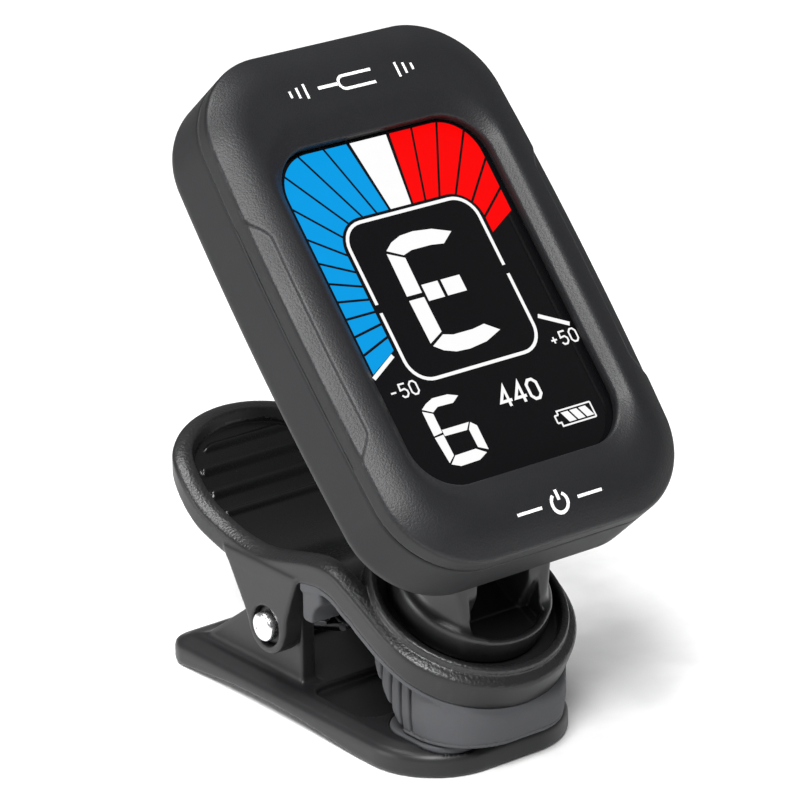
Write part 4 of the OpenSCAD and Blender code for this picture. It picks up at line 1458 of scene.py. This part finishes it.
class TUNER_OT_lower_arm(bpy.types.Operator):
    """Builds the lower arm with its arched underside, inner ears, bosses and ribs"""

    bl_idname = "tuner.lower_arm"
    bl_label = "Lower Arm"

    def execute(self, context):
        clip = Sizes("tuner_clip")
        low = (-clip.width / 2, -clip.lower_tip, 0)
        high = (clip.width / 2, clip.lower_end, PIN[2] + 3.2)
        piece = moulded("lower_arm", lower_arm_field, low, high, 0.21)
        finish_piece(piece, "lower_clip", "clip_plastic", finish("clip_plastic"), "lower_arm")
        return {"FINISHED"}


class TUNER_OT_pads(bpy.types.Operator):
    """Builds the two rubber jaw pads"""

    bl_idname = "tuner.pads"
    bl_label = "Rubber Pads"

    def execute(self, context):
        half = context.scene.tuner_clip.width / MM / 2
        upper = moulded("upper_pad", upper_pad_field, (-half, -13, 3.2), (half, 9.2, 17.4), 0.18)
        finish_piece(upper, "upper_clip", "grey_rubber", finish("pad_rubber"), "upper_pad")
        lower = moulded("lower_pad", lower_pad_field, (-8.6, -9.5, 2.2), (8.6, 1.1, 3.2), 0.15)
        finish_piece(lower, "lower_clip", "grey_rubber", finish("pad_rubber"), "lower_pad")
        return {"FINISHED"}


class TUNER_OT_pivot_pin(bpy.types.Operator):
    """Builds the pivot pin with its two turned heads"""

    bl_idname = "tuner.pivot_pin"
    bl_label = "Pivot Pin"

    def execute(self, context):
        face = context.scene.tuner_clip.width / MM / 2 - 0.7
        end = [
            (1.19, face), (1.45, face + 0.02), (1.5, face + 0.08), (1.5, face + 1.0), (1.44, face + 1.14),
            (1.3, face + 1.25), (1.05, face + 1.33), (0.75, face + 1.37), (0.72, face + 1.3),
            (0.3, face + 1.3), (0.0, face + 1.3),
        ]
        profile = [(r, -h) for r, h in end[::-1]] + end
        turn = Matrix.Rotation(math.radians(90), 4, "Y")
        piece = turned("pivot_pin", profile, Place(PIN), turn)
        bright = metal("bright_steel", (0.86, 0.86, 0.87), 0.26)
        finish_piece(piece, "lower_clip", "bright_steel", bright, "pivot_pin")
        return {"FINISHED"}


WIRE = 0.45
COIL_R = 2.4
WIRE_TURNS = 5


class TUNER_OT_clip_spring(bpy.types.Operator):
    """Winds the torsion spring round the pivot pin, with one leg on each arm"""

    bl_idname = "tuner.clip_spring"
    bl_label = "Clip Spring"

    def execute(self, context):
        rotations = WIRE_TURNS + 150 / 360
        span = WIRE_TURNS * 2 * WIRE * 1.12
        tree = Tree(
            "Spring Wire",
            [("Start Radius", "NodeSocketFloat", COIL_R), ("Wire", "NodeSocketFloat", WIRE),
             ("Rotations", "NodeSocketFloat", rotations), ("Height", "NodeSocketFloat", span),
             ("Material", "NodeSocketMaterial", None)],
        )
        coil_sizes = {key: tree.given(key) for key in ("Rotations", "Start Radius", "Height")}
        coil_sizes.update({"Resolution": 44, "End Radius": tree.given("Start Radius")})
        coil = tree.add("GeometryNodeCurveSpiral", coil_sizes)
        ring = tree.add("GeometryNodeCurvePrimitiveCircle", {"Resolution": 12, "Radius": tree.given("Wire")})
        tube = {"Curve": coil, "Profile Curve": ring, "Fill Caps": True}
        tree.end_with(tree.add("GeometryNodeCurveToMesh", tube))
        turn = Matrix([(0, 0, 1, 0), (0, 1, 0, 0), (1, 0, 0, 0), (0, 0, 0, 1)])
        angle = Matrix.Rotation(math.radians(200), 4, "X")
        slide = Matrix.Translation((-span / 2, 0, 0))
        place = Place(PIN).matrix() @ slide @ angle @ turn
        spring_wire = metal("spring_steel", (0.22, 0.22, 0.23), 0.3)
        piece = tree.build("clip_spring", spring_wire, {"Rotations": rotations}, place)
        bm = bmesh.new()
        bm.from_mesh(piece.data)
        add_leg(bm, -1, (-span / 2, PIN[1] + 10.2, 3.95))
        add_leg(bm, 1, (span / 2, PIN[1] + 9.8, PIN[2] + 5.0))
        bmesh.ops.recalc_face_normals(bm, faces=bm.faces)
        bm.to_mesh(piece.data)
        bm.free()
        smooth_by_angle(piece.data, 40)
        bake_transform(piece)
        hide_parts("clip_spring")
        return {"FINISHED"}


def add_leg(bm, side, end):
    """A straight leg that leaves the coil at a tangent and ends against an arm."""
    y, z = end[1] - PIN[1], end[2] - PIN[2]
    away = math.hypot(y, z)
    lean = math.atan2(z, y) + side * math.acos(COIL_R / away)
    start = (end[0], PIN[1] + COIL_R * math.cos(lean), PIN[2] + COIL_R * math.sin(lean))
    a, b = Vector(start) * MM, Vector(end) * MM
    along = (b - a).normalized()
    across = Vector((1, 0, 0))
    other = along.cross(across)
    sides = [math.cos(a) * across + math.sin(a) * other for a in (math.radians(30 * i) for i in range(12))]
    starts = (a - along * WIRE * MM * 1.2, b)
    first, last = ([bm.verts.new(point + WIRE * MM * side) for side in sides] for point in starts)
    for i in range(12):
        j = (i + 1) % 12
        bm.faces.new([first[i], first[j], last[j], last[i]])
    bm.faces.new(first[::-1])
    bm.faces.new(last)


# ---- stage ----


# each light's name, its place from the tuner's middle, its width and its power, in metres and watts
LIGHTS = (
    ("key", (-0.30, -0.30, 0.46), 0.26, 5.2),
    ("top", (-0.14, 0.16, 0.62), 0.3, 3.4),
    ("left", (-0.52, 0.22, 0.10), 0.3, 1.5),
)
FLOOR_HALF = 3.0
AIM = Vector((-0.00542, 0, 0.0361))
TURN, LIFT, ROLL, DISTANCE = -0.669, 0.360, -0.0138, 0.4394


def soft_light(name, offset, target, width, power):
    light = bpy.data.lights.new(name, "AREA")
    light.shape = "DISK"
    light.size = width
    light.energy = power
    lamp = placed(name, light)
    lamp.location = target + Vector(offset)
    lamp.rotation_euler = (target - lamp.location).to_track_quat("-Z", "Y").to_euler()


class TUNER_OT_stage(bpy.types.Operator):
    """Sets the pale floor, the soft lights and the camera"""

    bl_idname = "tuner.stage"
    bl_label = "Stage"

    def execute(self, context):
        scene = context.scene
        corners = [(-1, -1, 0), (1, -1, 0), (1, 1, 0), (-1, 1, 0)]
        floor = mesh_object("floor", FLOOR_HALF * np.array(corners), np.array([(0, 1, 2, 3)]))
        pale = plastic("pale_floor", (0.93, 0.93, 0.93), 0.6, grain=40, depth=0.0, wear=0.0)
        floor.data.materials.append(pale)
        world = bpy.data.worlds.new("studio")
        world.use_nodes = True
        backdrop = world.node_tree.nodes["Background"].inputs
        backdrop["Color"].default_value = (1, 1, 1, 1)
        backdrop["Strength"].default_value = 0.2
        scene.world = world
        scene.view_settings.view_transform = "Standard"
        low, high = (Vector(corner) for corner in CAD_BOX)
        for name, offset, width, power in LIGHTS:
            soft_light(name, offset, (low + high) / 2, width, power)
        away = Vector((math.sin(TURN) * math.cos(LIFT), -math.cos(TURN) * math.cos(LIFT), math.sin(LIFT)))
        right = Vector((math.cos(TURN), math.sin(TURN), 0))
        up = away.cross(right)
        right, up = (
            math.cos(ROLL) * right + math.sin(ROLL) * up, math.cos(ROLL) * up - math.sin(ROLL) * right,
        )
        lens = bpy.data.cameras.new("camera")
        lens.sensor_width = 36
        lens.lens = 206.9
        lens.clip_start = 0.01
        camera = placed("camera", lens)
        facing = Matrix([[right[i], up[i], away[i], 0] for i in range(3)] + [[0, 0, 0, 1]])
        camera.matrix_world = Matrix.Translation(AIM + away * DISTANCE) @ facing
        scene.camera = camera
        return {"FINISHED"}


# ---- panel and registration ----

STEPS = [
    TUNER_OT_front_cover,
    TUNER_OT_rear_cover,
    TUNER_OT_display_window,
    TUNER_OT_display_shapes,
    TUNER_OT_printed_marks,
    TUNER_OT_battery_cap,
    TUNER_OT_mode_button,
    TUNER_OT_electronics,
    TUNER_OT_display_pins,
    TUNER_OT_housing_screws,
    TUNER_OT_neck,
    TUNER_OT_neck_hardware,
    TUNER_OT_upper_arm,
    TUNER_OT_lower_arm,
    TUNER_OT_pads,
    TUNER_OT_pivot_pin,
    TUNER_OT_clip_spring,
    TUNER_OT_stage,
]


class TUNER_PT_build(bpy.types.Panel):
    """Lists the tuner's sizes and the steps that build it"""

    bl_idname = "TUNER_PT_build"
    bl_label = "Clip-on Tuner"
    bl_space_type = "VIEW_3D"
    bl_region_type = "UI"
    bl_category = "Tuner"

    def draw(self, context):
        for name in GROUPS:
            group = getattr(context.scene, name)
            box = self.layout.box()
            for prop in group.bl_rna.properties:
                if prop.identifier not in ("rna_type", "name"):
                    box.prop(group, prop.identifier)
        for step in STEPS:
            self.layout.operator(step.bl_idname)


def register():
    for group in GROUPS.values():
        bpy.utils.register_class(group)
    for name, group in GROUPS.items():
        setattr(bpy.types.Scene, name, PointerProperty(type=group))
    for step in STEPS:
        bpy.utils.register_class(step)
    bpy.utils.register_class(TUNER_PT_build)


def unregister():
    bpy.utils.unregister_class(TUNER_PT_build)
    for step in reversed(STEPS):
        bpy.utils.unregister_class(step)
    for name, group in GROUPS.items():
        delattr(bpy.types.Scene, name)
        bpy.utils.unregister_class(group)


def main():
    register()
    for step in STEPS:
        family, name = step.bl_idname.split(".")
        getattr(getattr(bpy.ops, family), name)()


if __name__ == "__main__":
    main()
